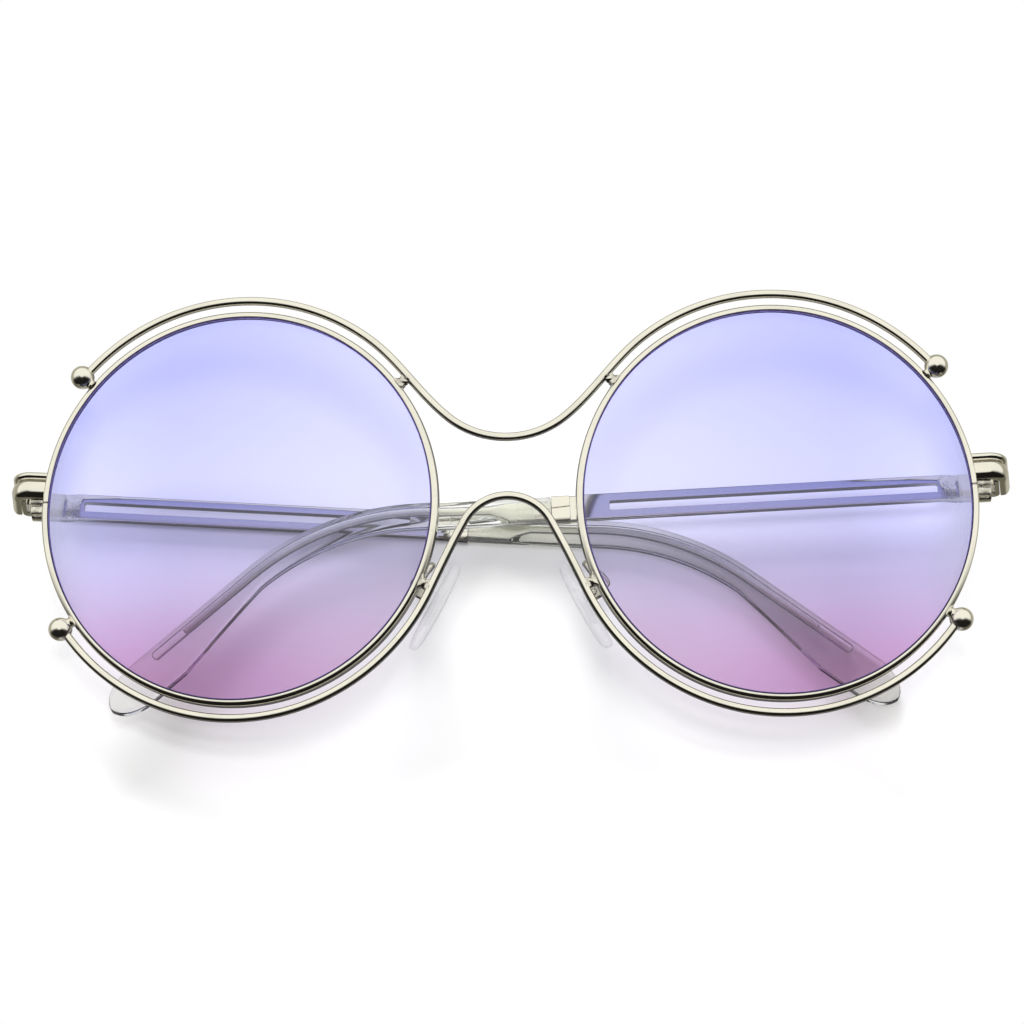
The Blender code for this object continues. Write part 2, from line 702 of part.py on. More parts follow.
def build_closing_blocks(side, parent, rim_cutter):
    """Two blocks at the rim's split and the screw that draws them together."""
    side_name = SIDE_NAMES[side]
    split = split_height(side)
    front = -ENDPIECE_THICKNESS - SEAT_GAP
    back = front - BLOCK_DEPTH
    far = -RIM_OUTER_RADIUS - BLOCK_RADIAL
    near = -RIM_OPENING_RADIUS
    half_gap = RIM_SPLIT / 2
    top = split + half_gap + UPPER_BLOCK_HEIGHT
    bottom = split - half_gap - LOWER_BLOCK_HEIGHT
    middle = (-RIM_OUTER_RADIUS - BLOCK_RADIAL / 2, 0, (front + back) / 2)
    spans = {"upper": (split + half_gap, top), "lower": (bottom, split - half_gap)}
    for name, (low, high) in spans.items():
        block = mesh_piece(f"{side_name}_{name}_closing_block",
                           block_shape((far, low, back), (near, high, front)), silver, parent, side)
        boolean(block, rim_cutter, "DIFFERENCE")
        hole = rod_shape(CLOSING_SCREW_RADIUS + RUNNING_GAP, low - CUT_OVERRUN,
                         high + CUT_OVERRUN, "Y", middle)
        boolean(block, add_tool(f"{block.name}_bore", hole, parent, side), "DIFFERENCE")
        round_edges(block, BLOCK_ROUNDING)
    under = top + SOLDER_GAP
    crown = under + CLOSING_HEAD_HEIGHT
    head = rod_shape(CLOSING_HEAD_RADIUS, under, crown, "Y", middle)
    shank = rod_shape(CLOSING_SCREW_RADIUS, bottom, under + CLOSING_HEAD_HEIGHT / 2, "Y", middle)
    reach = Vector((CLOSING_HEAD_RADIUS + CUT_OVERRUN, 0, SCREW_SLOT_WIDTH / 2))
    slot = block_shape(Vector(middle) - reach + Vector((0, crown - SCREW_SLOT_DEPTH, 0)),
                       Vector(middle) + reach + Vector((0, crown + CUT_OVERRUN, 0)))
    build_screw(f"{side_name}_closing_screw", head, shank, slot, parent, side)


def build_screw(name, head, shank, slot, parent, side):
    """Slotted screw from a head, a shank and a slot cutter."""
    screw = mesh_piece(name, head, silver, parent, side)
    boolean(screw, add_tool(f"{name}_shank", shank, parent, side), "UNION")
    boolean(screw, add_tool(f"{name}_slot", slot, parent, side), "DIFFERENCE")


def knuckle_levels():
    """Heights of the three knuckles, lowest first, with running gaps between them."""
    half = KNUCKLE_HEIGHT / 2
    step = half + KNUCKLE_GAP
    top = step + KNUCKLE_HEIGHT
    return {"lower": (-top, -step), "middle": (-half, half), "upper": (step, top)}


def leaf_outline(length):
    """Outline of a hinge leaf as (inward, along) points: its knuckle runs into its flat plate."""
    outer = -KNUCKLE_RADIUS
    plate = outer + HINGE_PLATE_THICKNESS
    first = math.pi
    last = math.tau + math.acos(plate / KNUCKLE_RADIUS)
    points = [(outer, length)]
    for i in range(ROUND_SEGMENTS + 1):
        turn = first + (last - first) * i / ROUND_SEGMENTS
        points.append((KNUCKLE_RADIUS * math.cos(turn), KNUCKLE_RADIUS * math.sin(turn)))
    points.append((plate, length))
    return points


def cut_screw_bore(item, parent, side, reach):
    """Bore of the hinge screw through a leaf."""
    bore = rod_shape(HINGE_SCREW_RADIUS + RUNNING_GAP, -reach, reach)
    boolean(item, add_tool(f"{item.name}_bore", bore, parent, side), "DIFFERENCE")


def build_front_leaf(side, parent):
    """Hinge half on the endpiece: two knuckles with room for the temple's knuckle between."""
    levels = knuckle_levels()
    top = levels["upper"][1]
    shape = prism_shape(leaf_outline(HINGE_PLATE_LENGTH), -top, top)
    leaf = mesh_piece(f"{SIDE_NAMES[side]}_hinge_front_half", shape, silver, parent, side)
    room = rod_shape(HINGE_RELIEF, levels["lower"][1], levels["upper"][0])
    boolean(leaf, add_tool(f"{leaf.name}_room", room, parent, side), "DIFFERENCE")
    cut_screw_bore(leaf, parent, side, top + CUT_OVERRUN)


def build_temple_leaf(side, parent):
    """Hinge half on the temple: one knuckle between the endpiece's two."""
    levels = knuckle_levels()
    top = levels["upper"][1]
    outline = [(along, inward) for inward, along in leaf_outline(HINGE_PLATE_LENGTH)]
    shape = prism_shape(outline, -top, top)
    leaf = mesh_piece(f"{SIDE_NAMES[side]}_hinge_temple_half", shape, silver, parent, side)
    reach = top + CUT_OVERRUN
    high, low = levels["middle"][1], levels["middle"][0]
    rooms = merge_shapes(rod_shape(HINGE_RELIEF, high, reach), rod_shape(HINGE_RELIEF, -reach, low))
    boolean(leaf, add_tool(f"{leaf.name}_room", rooms, parent, side), "DIFFERENCE")
    cut_screw_bore(leaf, parent, side, reach)


def build_hinge_screw(side, parent):
    """Screw that the temple turns on."""
    top = knuckle_levels()["upper"][1]
    under_head = top + SOLDER_GAP
    crown = under_head + HINGE_HEAD_HEIGHT
    head = rod_shape(HINGE_HEAD_RADIUS, under_head, crown)
    shank = rod_shape(HINGE_SCREW_RADIUS, -top - HINGE_SCREW_TAIL, under_head + SCREW_SLOT_DEPTH)
    reach = HINGE_HEAD_RADIUS + CUT_OVERRUN
    half = SCREW_SLOT_WIDTH / 2
    slot = block_shape((-reach, crown - SCREW_SLOT_DEPTH, -half), (reach, crown + CUT_OVERRUN, half))
    build_screw(f"{SIDE_NAMES[side]}_hinge_screw", head, shank, slot, parent, side)


def temple_point(along, bend):
    """(x, y, bend so far) of the temple's centre line at a distance from the hinge."""
    if along <= BEND_START:
        return along, 0, 0
    bent = min((along - BEND_START) / BEND_RADIUS, bend)
    x = BEND_START + BEND_RADIUS * math.sin(bent)
    y = -BEND_RADIUS * (1 - math.cos(bent))
    rest = along - BEND_START - BEND_RADIUS * bent
    return x + rest * math.cos(bent), y - rest * math.sin(bent), bent


def temple_ring(along, section, middle, bend=0, aside=0):
    """Place a section of (sideways, inward) points across the temple's centre line."""
    x, y, bent = temple_point(along, bend)
    return [(x + (across + aside) * math.sin(bent), y + (across + aside) * math.cos(bent),
             middle + inward) for across, inward in section]


def bar_section(half_height, half_thickness, corner):
    """Rectangle with its four corners taken off."""
    high = half_height - corner
    deep = half_thickness - corner
    return [(high, -half_thickness), (half_height, -deep), (half_height, deep),
            (high, half_thickness), (-high, half_thickness), (-half_height, deep),
            (-half_height, -deep), (-high, -half_thickness)]


def core_rings(clearance, start, reach, bend):
    """Rings of the core: a blade, a taper and a wire that follows the hook."""
    blade_end = TIP_START + BLADE_LENGTH
    wire_start = blade_end + BLADE_TAPER_LENGTH
    wire_half = CORE_WIRE_HEIGHT / 2 + clearance
    blade = bar_section(BLADE_HEIGHT / 2 + clearance, CORE_THICKNESS / 2 + clearance,
                        STRIP_ROUNDING)
    wire = bar_section(wire_half, wire_half, wire_half * OCTAGON_CORNER_SHARE)
    rings = [temple_ring(start, blade, TIP_CENTRE_Z), temple_ring(blade_end, blade, TIP_CENTRE_Z),
             temple_ring(wire_start, wire, TIP_CENTRE_Z, 0, CORE_RISE / 2)]
    for i in range(BEND_STEPS + 1):
        along = BEND_START + BEND_RADIUS * bend * i / BEND_STEPS
        rings.append(temple_ring(along, wire, TIP_CENTRE_Z, bend, CORE_RISE))
    end = BEND_START + BEND_RADIUS * bend + reach
    rings.append(temple_ring(end, wire, TIP_CENTRE_Z, bend, CORE_RISE))
    return rings


def build_temple(side, parent):
    """Slotted metal temple, one stamping from the hinge to the end of its core wire."""
    half = STRIP_HEIGHT / 2
    hinge_middle = -AXIS_INSET + ENDPIECE_THICKNESS / 2
    hinge_end = bar_section(half, ENDPIECE_THICKNESS / 2, STRIP_ROUNDING)
    strip = bar_section(half, STRIP_THICKNESS / 2, STRIP_ROUNDING)
    ferrule = bar_section(FERRULE_HEIGHT / 2, FERRULE_THICKNESS / 2, STRIP_ROUNDING)
    ramp_start = SLOT_START - RAMP_LENGTH - STRIP_THICKNESS / 2
    ferrule_start = STRIP_END - FERRULE_LENGTH
    rings = [temple_ring(END_GAP, hinge_end, hinge_middle),
             temple_ring(ramp_start, hinge_end, hinge_middle),
             temple_ring(ramp_start + RAMP_LENGTH, strip, TIP_CENTRE_Z),
             temple_ring(ferrule_start, strip, TIP_CENTRE_Z),
             temple_ring(ferrule_start, ferrule, TIP_CENTRE_Z),
             temple_ring(STRIP_END, ferrule, TIP_CENTRE_Z)]
    rings += core_rings(0, STRIP_END, CORE_REACH, BEND_ANGLES[side])
    temple = mesh_piece(f"{SIDE_NAMES[side]}_temple", loft_shape(rings), silver, parent, side)
    reach = AXIS_INSET + CUT_OVERRUN
    radius = SLOT_CORNER_RADIUS
    level = SLOT_HEIGHT / 2 - radius
    outline = []
    corners = ((SLOT_END - radius, level), (SLOT_START + radius, level),
               (SLOT_START + radius, -level), (SLOT_END - radius, -level))
    for quarter, (x, y) in enumerate(corners):
        for i in range(SLOT_CORNER_STEPS + 1):
            turn = math.pi / 2 * (quarter + i / SLOT_CORNER_STEPS)
            outline.append((x + radius * math.cos(turn), y + radius * math.sin(turn)))
    slot = bmesh.new()
    ring = [slot.verts.new((x, y, -reach)) for x, y in outline]
    grown = bmesh.ops.extrude_face_region(slot, geom=[slot.faces.new(ring)])
    moved = [part for part in grown["geom"] if isinstance(part, bmesh.types.BMVert)]
    bmesh.ops.translate(slot, vec=(0, 0, reach), verts=moved)
    boolean(temple, add_tool(f"{temple.name}_slot", slot, parent, side), "DIFFERENCE")


def tip_section(outer, inner, half_thickness):
    """Rounded rectangle from inner to outer side of the centre line."""
    corner = min(TIP_ROUNDING, (outer + inner) * TIP_CORNER_SHARE)
    points = []
    corners = ((outer - corner, half_thickness - corner, 0),
               (corner - inner, half_thickness - corner, math.pi / 2),
               (corner - inner, corner - half_thickness, math.pi),
               (outer - corner, corner - half_thickness, math.pi * 3 / 2))
    for across, inward, first in corners:
        for i in range(TIP_CORNER_STEPS + 1):
            turn = first + math.pi / 2 * i / TIP_CORNER_STEPS
            points.append((across + corner * math.cos(turn), inward + corner * math.sin(turn)))
    return points


def tip_rings(bend):
    """Rings of the clear tip, which widens after the bend and ends in a round paddle."""
    deep = TIP_THICKNESS / 2
    middle = TIP_CENTRE_Z
    bend_end = BEND_START + BEND_RADIUS * bend
    straight = tip_section(TIP_OUTER_HALF, TIP_OUTER_HALF, deep)
    mouth = tip_section(TIP_OUTER_HALF - TIP_LIP, TIP_OUTER_HALF - TIP_LIP, deep - TIP_LIP)
    rings = [temple_ring(TIP_START, mouth, middle),
             temple_ring(TIP_START + TIP_LIP, straight, middle)]
    for i in range(BEND_STEPS + 1):
        part = i / BEND_STEPS
        inner = TIP_OUTER_HALF + (TIP_INNER_HALF_AT_BEND - TIP_OUTER_HALF) * part
        section = tip_section(TIP_OUTER_HALF, inner, deep)
        rings.append(temple_ring(BEND_START + BEND_RADIUS * bend * part, section, middle, bend))
    for i in range(1, HOOK_STEPS + 1):
        part = i / HOOK_STEPS
        inner = TIP_INNER_HALF_AT_BEND + (TIP_INNER_HALF_AT_END - TIP_INNER_HALF_AT_BEND) * part
        section = tip_section(TIP_OUTER_HALF, inner, deep)
        rings.append(temple_ring(bend_end + HOOK_FLARE_LENGTH * part, section, middle, bend))
    offset = (TIP_OUTER_HALF - TIP_INNER_HALF_AT_END) / 2
    spread = (TIP_OUTER_HALF + TIP_INNER_HALF_AT_END) / 2
    for i in range(HOOK_END_STEPS + 1):
        turn = math.pi / 2 * i / (HOOK_END_STEPS + 1 / 2)
        width = spread * math.cos(turn)
        section = tip_section(offset + width, width - offset,
                              deep * (1 - TIP_END_THINNING_SHARE * math.sin(turn) ** 2))
        along = bend_end + HOOK_LENGTH - HOOK_ROUND_LENGTH * (1 - math.sin(turn))
        rings.append(temple_ring(along, section, middle, bend))
    return rings


def build_tip(side, parent):
    """Clear temple tip with the bore that its core wire sits in."""
    bend = BEND_ANGLES[side]
    tip = mesh_piece(f"{SIDE_NAMES[side]}_temple_tip", loft_shape(tip_rings(bend)), clear_plastic,
                     parent, side)
    bore = loft_shape(core_rings(SEAT_GAP, TIP_START - CUT_OVERRUN, CORE_BORE_REACH, bend))
    boolean(tip, add_tool(f"{tip.name}_bore", bore, parent, side), "DIFFERENCE")


def power(value, exponent):
    """Signed power, for rounded-box curves."""
    return math.copysign(abs(value) ** exponent, value)


def pad_shape():
    """Soft pad, a rounded drop that is narrower at the top."""
    rings = []
    for i in range(PAD_RINGS):
        turn = math.pi * (i + 1 / 2) / PAD_RINGS - math.pi / 2
        level = math.sin(turn)
        width = PAD_WIDTH / 2 * math.cos(turn) ** PAD_END_SHARE
        width *= 1 - PAD_TOP_TAPER_SHARE * (1 + level) / 2
        deep = PAD_THICKNESS / 2 * math.cos(turn) ** PAD_EDGE_SHARE
        y = PAD_LENGTH / 2 * level - PAD_DROP
        ring = []
        for j in range(PAD_SEGMENTS):
            around = math.tau * j / PAD_SEGMENTS
            across = width * power(math.cos(around), PAD_SECTION_SHARE)
            ring.append((PAD_STANDOFF + deep * power(math.sin(around), PAD_SECTION_SHARE), y, across))
        rings.append(ring)
    return loft_shape(rings)


def insert_shapes(clearance):
    """Plate inside the pad and the tab that stands out of its back, grown by a clearance."""
    thick = INSERT_THICKNESS / 2 + clearance
    tall = INSERT_LENGTH / 2 + clearance
    wide = INSERT_WIDTH / 2 + clearance
    plate = block_shape((PAD_STANDOFF - thick, -PAD_DROP - tall, -wide),
                        (PAD_STANDOFF + thick, tall - PAD_DROP, wide))
    radius = TAB_RADIUS + clearance
    outline = [(PAD_STANDOFF, radius)]
    for i in range(TAB_END_STEPS + 1):
        turn = math.pi / 2 + math.pi * i / TAB_END_STEPS
        outline.append((radius * math.cos(turn), radius * math.sin(turn)))
    outline.append((PAD_STANDOFF, -radius))
    tab = bmesh.new()
    half = TAB_WIDTH / 2 + clearance
    ring = [tab.verts.new((x, y, -half)) for x, y in outline]
    grown = bmesh.ops.extrude_face_region(tab, geom=[tab.faces.new(ring)])
    moved = [part for part in grown["geom"] if isinstance(part, bmesh.types.BMVert)]
    bmesh.ops.translate(tab, vec=(0, 0, 2 * half), verts=moved)
    return plate, tab


def build_pad(side, parent):
    """Silicone pad and the clear plastic insert that it is moulded round."""
    name = SIDE_NAMES[side]
    plate, tab = insert_shapes(0)
    insert = mesh_piece(f"{name}_pad_insert", plate, clear_plastic, parent, side)
    boolean(insert, add_tool(f"{name}_pad_tab", tab, parent, side), "UNION")
    reach = PAD_WIDTH / 2
    bore = rod_shape(PAD_SCREW_RADIUS + RUNNING_GAP, -reach, reach, "Z")
    boolean(insert, add_tool(f"{name}_pad_bore", bore, parent, side), "DIFFERENCE")
    pad = mesh_piece(f"{name}_nose_pad", pad_shape(), clear_silicone, parent, side)
    for label, shape in zip(("plate_room", "tab_room"), insert_shapes(SEAT_GAP)):
        boolean(pad, add_tool(f"{name}_pad_{label}", shape, parent, side), "DIFFERENCE")


def box_sizes():
    """Pad box: how far its cheeks stand apart, and its inner and outer back."""
    inner = TAB_WIDTH / 2 + RUNNING_GAP
    back = -TAB_RADIUS - BOX_REAR_CLEARANCE
    return inner, inner + BOX_WALL, back, back - BOX_WALL


def build_pad_box(side, parent):
    """Box that holds the pad's tab, and its screw, on which the pad rocks."""
    name = SIDE_NAMES[side]
    inner, outer, back_in, back_out = box_sizes()
    tall = BOX_HALF_HEIGHT
    box = mesh_piece(f"{name}_pad_box", block_shape((back_out, -tall, -outer),
                                                    (BOX_FRONT, tall, outer)), silver, parent, side)
    room = block_shape((back_in, -tall - CUT_OVERRUN, -inner),
                       (BOX_FRONT + CUT_OVERRUN, tall + CUT_OVERRUN, inner))
    boolean(box, add_tool(f"{name}_pad_box_room", room, parent, side), "DIFFERENCE")
    reach = outer + CUT_OVERRUN
    bore = rod_shape(PAD_SCREW_RADIUS + RUNNING_GAP, -reach, reach, "Z")
    boolean(box, add_tool(f"{name}_pad_box_bore", bore, parent, side), "DIFFERENCE")
    under = outer + SOLDER_GAP
    crown = under + PAD_SCREW_HEAD_HEIGHT
    head = rod_shape(PAD_SCREW_HEAD_RADIUS, under, crown, "Z")
    shank = rod_shape(PAD_SCREW_RADIUS, -outer, under + PAD_SCREW_HEAD_HEIGHT / 2, "Z")
    far = PAD_SCREW_HEAD_RADIUS + CUT_OVERRUN
    half = SCREW_SLOT_WIDTH / 2
    slot = block_shape((-far, -half, crown - SCREW_SLOT_DEPTH), (far, half, crown + CUT_OVERRUN))
    build_screw(f"{name}_pad_screw", head, shank, slot, parent, side)


def smooth_path(knots, steps):
    """Even curve through every knot."""
    padded = [2 * knots[0] - knots[1]] + knots + [2 * knots[-1] - knots[-2]]
    points = []
    for before, first, second, after in zip(padded, padded[1:], padded[2:], padded[3:]):
        for i in range(steps):
            t = i / steps
            pull_first = (second - before) / 2
            pull_second = (after - first) / 2
            points.append((2 * t ** 3 - 3 * t ** 2 + 1) * first + (t ** 3 - 2 * t ** 2 + t) * pull_first
                          + (3 * t ** 2 - 2 * t ** 3) * second + (t ** 3 - t ** 2) * pull_second)
    return points + [knots[-1]]


def build_pad_arm(side, parent):
    """Wire from the back of the rim, round its loop, to the back of the pad box."""
    rim_middle = RIM_OPENING_RADIUS + RIM_WIDTH / 2
    start = on_lens_plane(LEFT, rim_middle, LOWER_STUD_ANGLE, -RIM_DEPTH - SOLDER_GAP)
    front = worn_matrix() @ tilt_matrix()
    to_front = front.inverted() @ pad_matrix(LEFT)
    back_out = box_sizes()[3]
    end = to_front @ Vector((back_out - SOLDER_GAP, 0, 0))
    before_end = to_front @ Vector((back_out - SOLDER_GAP - ARM_LANDING, 0, 0))
    knots = [start, start - Vector((0, 0, ARM_LANDING))]
    for across, rise, back in ARM_LOOP_SHARES:
        knots.append(start + Vector((across * ARM_LOOP_WIDTH, rise * ARM_LOOP_RISE,
                                     -back * ARM_LOOP_DEPTH)))
    knots += [before_end, end]
    points = [Vector((-side * p.x, p.y, p.z)) for p in smooth_path(knots, ARM_STEPS)]
    wire_piece(f"{SIDE_NAMES[side]}_pad_arm", points, ARM_RADIUS, parent)


def build_side(side, front, wires):
    """All pieces of one side."""
    name = SIDE_NAMES[side]
    lens_axes = add_empty(f"{name}_lens_axes", lens_matrix(side), front)
    hinge_axes = add_empty(f"{name}_hinge_axes", front_hinge_matrix(side))
    temple_axes = add_empty(f"{name}_temple_axes", temple_matrix(side))
    pad_axes = add_empty(f"{name}_pad_axes", pad_matrix(side))
    rim_cutter = build_rim_cutter(side, lens_axes)
    build_rim(side, lens_axes)
    build_lens(side, lens_axes)
    build_ball(side, "brow", BROW_BALL_ANGLE, lens_axes)
    build_ball(side, "lower", LOWER_BALL_ANGLE, lens_axes)
    build_stud(side, "brow", BROW_STUD_ANGLE, wires[0], lens_axes)
    build_stud(side, "lower", LOWER_STUD_ANGLE, wires[1], lens_axes)
    build_closing_blocks(side, lens_axes, rim_cutter)
    build_endpiece(side, hinge_axes, rim_cutter)
    build_front_leaf(side, hinge_axes)
    build_hinge_screw(side, hinge_axes)
    build_temple_leaf(side, temple_axes)
    build_temple(side, temple_axes)
    build_tip(side, temple_axes)
    build_pad_box(side, pad_axes)
    build_pad(side, pad_axes)
    build_pad_arm(side, front)


def main():
    """Build the sunglasses."""
    clear_scene()
    worn = add_empty("worn_axes", worn_matrix())
    front = add_empty("front_axes", tilt_matrix(), worn)
    brow = brow_points()
    lower = lower_points()
    wire_piece("brow_wire", brow, OUTER_WIRE_RADIUS, front)
    wire_piece("lower_wire", lower, OUTER_WIRE_RADIUS, front)
    for side in (LEFT, RIGHT):
        build_side(side, front, (brow, lower))
    bpy.context.view_layer.update()


main()
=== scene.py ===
"""Round double-wire sunglasses, folded: fine surfaces, finishes and a small studio.

The file is laid out as an add-on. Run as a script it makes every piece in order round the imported
frame. Lengths are in metres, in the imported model's own frame.
"""

import functools
import json
import math

import bmesh
import bpy
import numpy as np
from bpy.props import FloatProperty, FloatVectorProperty, IntProperty, PointerProperty
from bpy.types import Operator, Panel, PropertyGroup
from mathutils import Matrix, Vector

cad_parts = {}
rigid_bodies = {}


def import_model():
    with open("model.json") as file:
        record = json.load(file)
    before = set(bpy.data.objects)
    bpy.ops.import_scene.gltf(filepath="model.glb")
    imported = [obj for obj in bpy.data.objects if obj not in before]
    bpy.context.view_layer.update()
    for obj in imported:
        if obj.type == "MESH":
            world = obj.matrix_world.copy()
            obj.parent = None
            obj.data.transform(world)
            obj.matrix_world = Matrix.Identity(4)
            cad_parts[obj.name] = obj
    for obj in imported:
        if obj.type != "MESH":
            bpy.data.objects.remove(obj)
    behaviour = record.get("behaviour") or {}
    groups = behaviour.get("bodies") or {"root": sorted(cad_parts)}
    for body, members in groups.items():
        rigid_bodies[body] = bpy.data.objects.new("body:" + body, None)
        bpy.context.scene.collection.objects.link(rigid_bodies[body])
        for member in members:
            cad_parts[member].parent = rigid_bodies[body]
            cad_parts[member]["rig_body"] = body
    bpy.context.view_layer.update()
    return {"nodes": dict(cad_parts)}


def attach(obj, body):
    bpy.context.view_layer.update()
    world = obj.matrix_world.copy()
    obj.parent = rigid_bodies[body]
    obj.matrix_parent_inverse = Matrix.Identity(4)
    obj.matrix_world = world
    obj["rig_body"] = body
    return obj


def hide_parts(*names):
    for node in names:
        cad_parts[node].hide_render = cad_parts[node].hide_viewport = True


bl_info = {
    "name": "Round double-wire sunglasses",
    "version": (1, 0, 0),
    "blender": (4, 5, 0),
    "location": "View3D > Sidebar > Sunglasses",
    "description": "Fine surfaces and finishes of folded round sunglasses",
    "category": "Object",
}

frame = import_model()

MM = 0.001
LEFT = -1
RIGHT = 1
SIDE_NAMES = {LEFT: "left", RIGHT: "right"}

# Sizes, piece by piece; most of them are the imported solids' own

# Clearances
SOLDER_GAP = 0.06 * MM
SEAT_GAP = 0.08 * MM

# Rims and lenses
RIM_OPENING_RADIUS = 28.0 * MM
RIM_WIDTH = 0.95 * MM
RIM_OUTER_RADIUS = RIM_OPENING_RADIUS + RIM_WIDTH
RIM_DEPTH = 1.9 * MM
RIM_FRONT_CROWN = 0.5 * MM
RIM_BACK_CROWN = 0.3 * MM
RIM_CREST_SHIFT = 0.45
GROOVE_DEPTH = 0.45 * MM
GROOVE_WIDTH = 0.66 * MM
LENS_CENTRE_OFFSET = 38.6 * MM
FACE_WRAP = math.radians(6.74)
PANTOSCOPIC_TILT = math.radians(8.0)
LENS_THICKNESS = 1.8 * MM
LENS_CURVE_RADIUS = 150.0 * MM
LENS_PLAY = 0.05 * MM
LENS_CHAMFER_WIDTH = 0.1 * MM
LENS_CHAMFER_DEPTH = 0.06 * MM

# Brow wire, lower wire, their balls and studs
OUTER_WIRE_RADIUS = 0.58 * MM
WIRE_FACE_RADIUS = OUTER_WIRE_RADIUS + 0.02 * MM
WIRE_FULLNESS = 0.84
WIRE_INTO_BALL = 0.5 * MM
WIRE_RING_RADIUS = RIM_OUTER_RADIUS + 1.65 * MM
BROW_BALL_ANGLE = math.radians(41.0)
LOWER_BALL_ANGLE = math.radians(-33.0)
BROW_LEAVE_ANGLE = math.radians(128.0)
LOWER_LEAVE_ANGLE = math.radians(-155.0)
BROW_DIP_HEIGHT = 0.3075 * RIM_OUTER_RADIUS
BROW_DIP_RADIUS = 12.8 * MM
BROW_DIP_SWEEP = math.radians(42.0)
ARCH_HEIGHT = 0.35 * MM
ARCH_RADIUS = 7.0 * MM
ARCH_SWEEP = math.radians(62.0)
BRIDGE_BLEND_HALF = 10.0 * MM
BALL_RADIUS = 1.7 * MM
BALL_FOOT_DEPTH = 0.2 * MM
BALL_CENTRE_RISE = SOLDER_GAP + BALL_FOOT_DEPTH + BALL_RADIUS
BALL_NECK_RADIUS = 0.75 * MM
BALL_NECK_FLARE = 0.35
BALL_NECK_FLARE_REACH = 0.55 * MM
BROW_STUD_ANGLE = math.radians(143.5)
LOWER_STUD_ANGLE = math.radians(-155.8)
STUD_INTO_RIM = 0.15 * MM
STUD_INTO_WIRE = 0.1 * MM
STUD_HALF_WIDTH = 0.72 * MM
STUD_WIDTH_FLARE = 0.6 * MM
STUD_HALF_DEPTH = 0.5 * MM
STUD_DEPTH_FLARE = 0.08 * MM
STUD_LEVEL = -0.6 * MM

# Endpieces and hinges
HINGE_HEIGHTS = {LEFT: 5.2 * MM, RIGHT: 6.3 * MM}
HINGE_OUTBOARD = 3.1 * MM
LEG_SPLAY = math.radians(6.0)
ENDPIECE_LENGTH = 8.4 * MM
ENDPIECE_HEIGHT = 3.95 * MM
ENDPIECE_THICKNESS = 1.45 * MM
ENDPIECE_CORNER_RADIUS = 3.0 * MM
LOWER_RIDGE_DEPTH = 0.95 * MM
UPPER_RIDGE_DEPTH = 0.9 * MM
UPPER_RIDGE_STEP = 0.03 * MM
ENDPIECE_EDGE_RADIUS = 0.15 * MM
ENDPIECE_GROOVE_SHARE = 0.2
ENDPIECE_INTO_RIM = 0.12 * MM
SPLIT_DROP = 3.4 * MM
RIM_SPLIT = 0.3 * MM
KNUCKLE_RADIUS = 1.05 * MM
AXIS_INSET = ENDPIECE_THICKNESS + SOLDER_GAP + KNUCKLE_RADIUS

# How the folded glasses lie
FRONT_ROLL = math.radians(1.2)
LEFT_LEAN = math.radians(3.45)
RIGHT_LEAN = math.radians(3.0)
STACK_GAP = 0.2 * MM

# Temples, and the clear tips over their core wires
STRIP_END = 63.9 * MM
TIP_START = STRIP_END + 0.08 * MM
TIP_THICKNESS = 2.7 * MM
TIP_CENTRE_Z = -AXIS_INSET + TIP_THICKNESS / 2
TIP_OUTER_HALF = 1.85 * MM
TIP_INNER_HALF_AT_BEND = 1.7 * MM
TIP_INNER_HALF_AT_END = 4.2 * MM
TIP_ROUNDING = 0.75 * MM
TIP_LIP = 0.2 * MM
BEND_START = 83.9 * MM
BEND_RADIUS = 37.0 * MM
BEND_ANGLES = {LEFT: math.radians(33.6), RIGHT: math.radians(39.2)}
HOOK_LENGTH = 28.0 * MM
HOOK_FLARE_LENGTH = 16.5 * MM
HOOK_ROUND_LENGTH = 5.5 * MM
BLADE_LENGTH = 6.0 * MM
BLADE_HEIGHT = 2.4 * MM
BLADE_TAPER_LENGTH = 3.0 * MM
CORE_THICKNESS = 0.8 * MM
CORE_WIRE_HEIGHT = 1.2 * MM
CORE_RISE = 0.6 * MM
CORE_BORE_REACH = 18.0 * MM
CORNER_POINTS = 8

# Nose pads and their arms
PAD_PIVOT = (12.0 * MM, -11.4 * MM, -7.6 * MM)
PAD_TILT = math.radians(28.0)
PAD_SPLAY = math.radians(14.0)
PAD_LENGTH = 13.6 * MM
PAD_WIDTH = 8.0 * MM
PAD_THICKNESS = 1.75 * MM
PAD_TAPER = 0.22
PAD_BOW = 0.04
PAD_DROP = 1.2 * MM
PAD_STANDOFF = 2.1 * MM
BOX_BACK = 1.45 * MM
ARM_RADIUS = 0.5 * MM
ARM_LANDING = 0.9 * MM
ARM_INTO_RIM = 0.15 * MM
ARM_INTO_BOX = 0.19 * MM
ARM_LOOP = np.array(((0.7, 1.6, -1.7), (1.6, 3.2, -3.3), (1.0, 3.0, -5.4),
                     (-0.7, 2.1, -7.2))) * MM

# The table patch: where it fades, its painted light, and painted shade in what metal mirrors
FLOOR_HALF_WIDTH = 90 * MM
FLOOR_HALF_DEPTH = 80 * MM
FLOOR_MIDDLE_Y = -8 * MM
FLOOR_DROP = 0.02 * MM
FLOOR_FADE_ASIDE = (60 * MM, 69 * MM)
FLOOR_FADE_DEEP = (36 * MM, 60 * MM)
FLOOR_FADE_BROW = (6 * MM, 22 * MM)
# |X| over which the painted shade in what metal mirrors of the table gives way
FLOOR_PAINTED_SHADE_EDGE = (56 * MM, 66 * MM)
# Painted light: the table glows more beside and ahead of the glasses, over their shadow
FLOOR_PAINTED_LIGHT_ASIDE = (47 * MM, 62 * MM)
FLOOR_PAINTED_LIGHT_AHEAD = (-44 * MM, -33 * MM)
FLOOR_PAINTED_LIGHT_LEVEL = 0.16
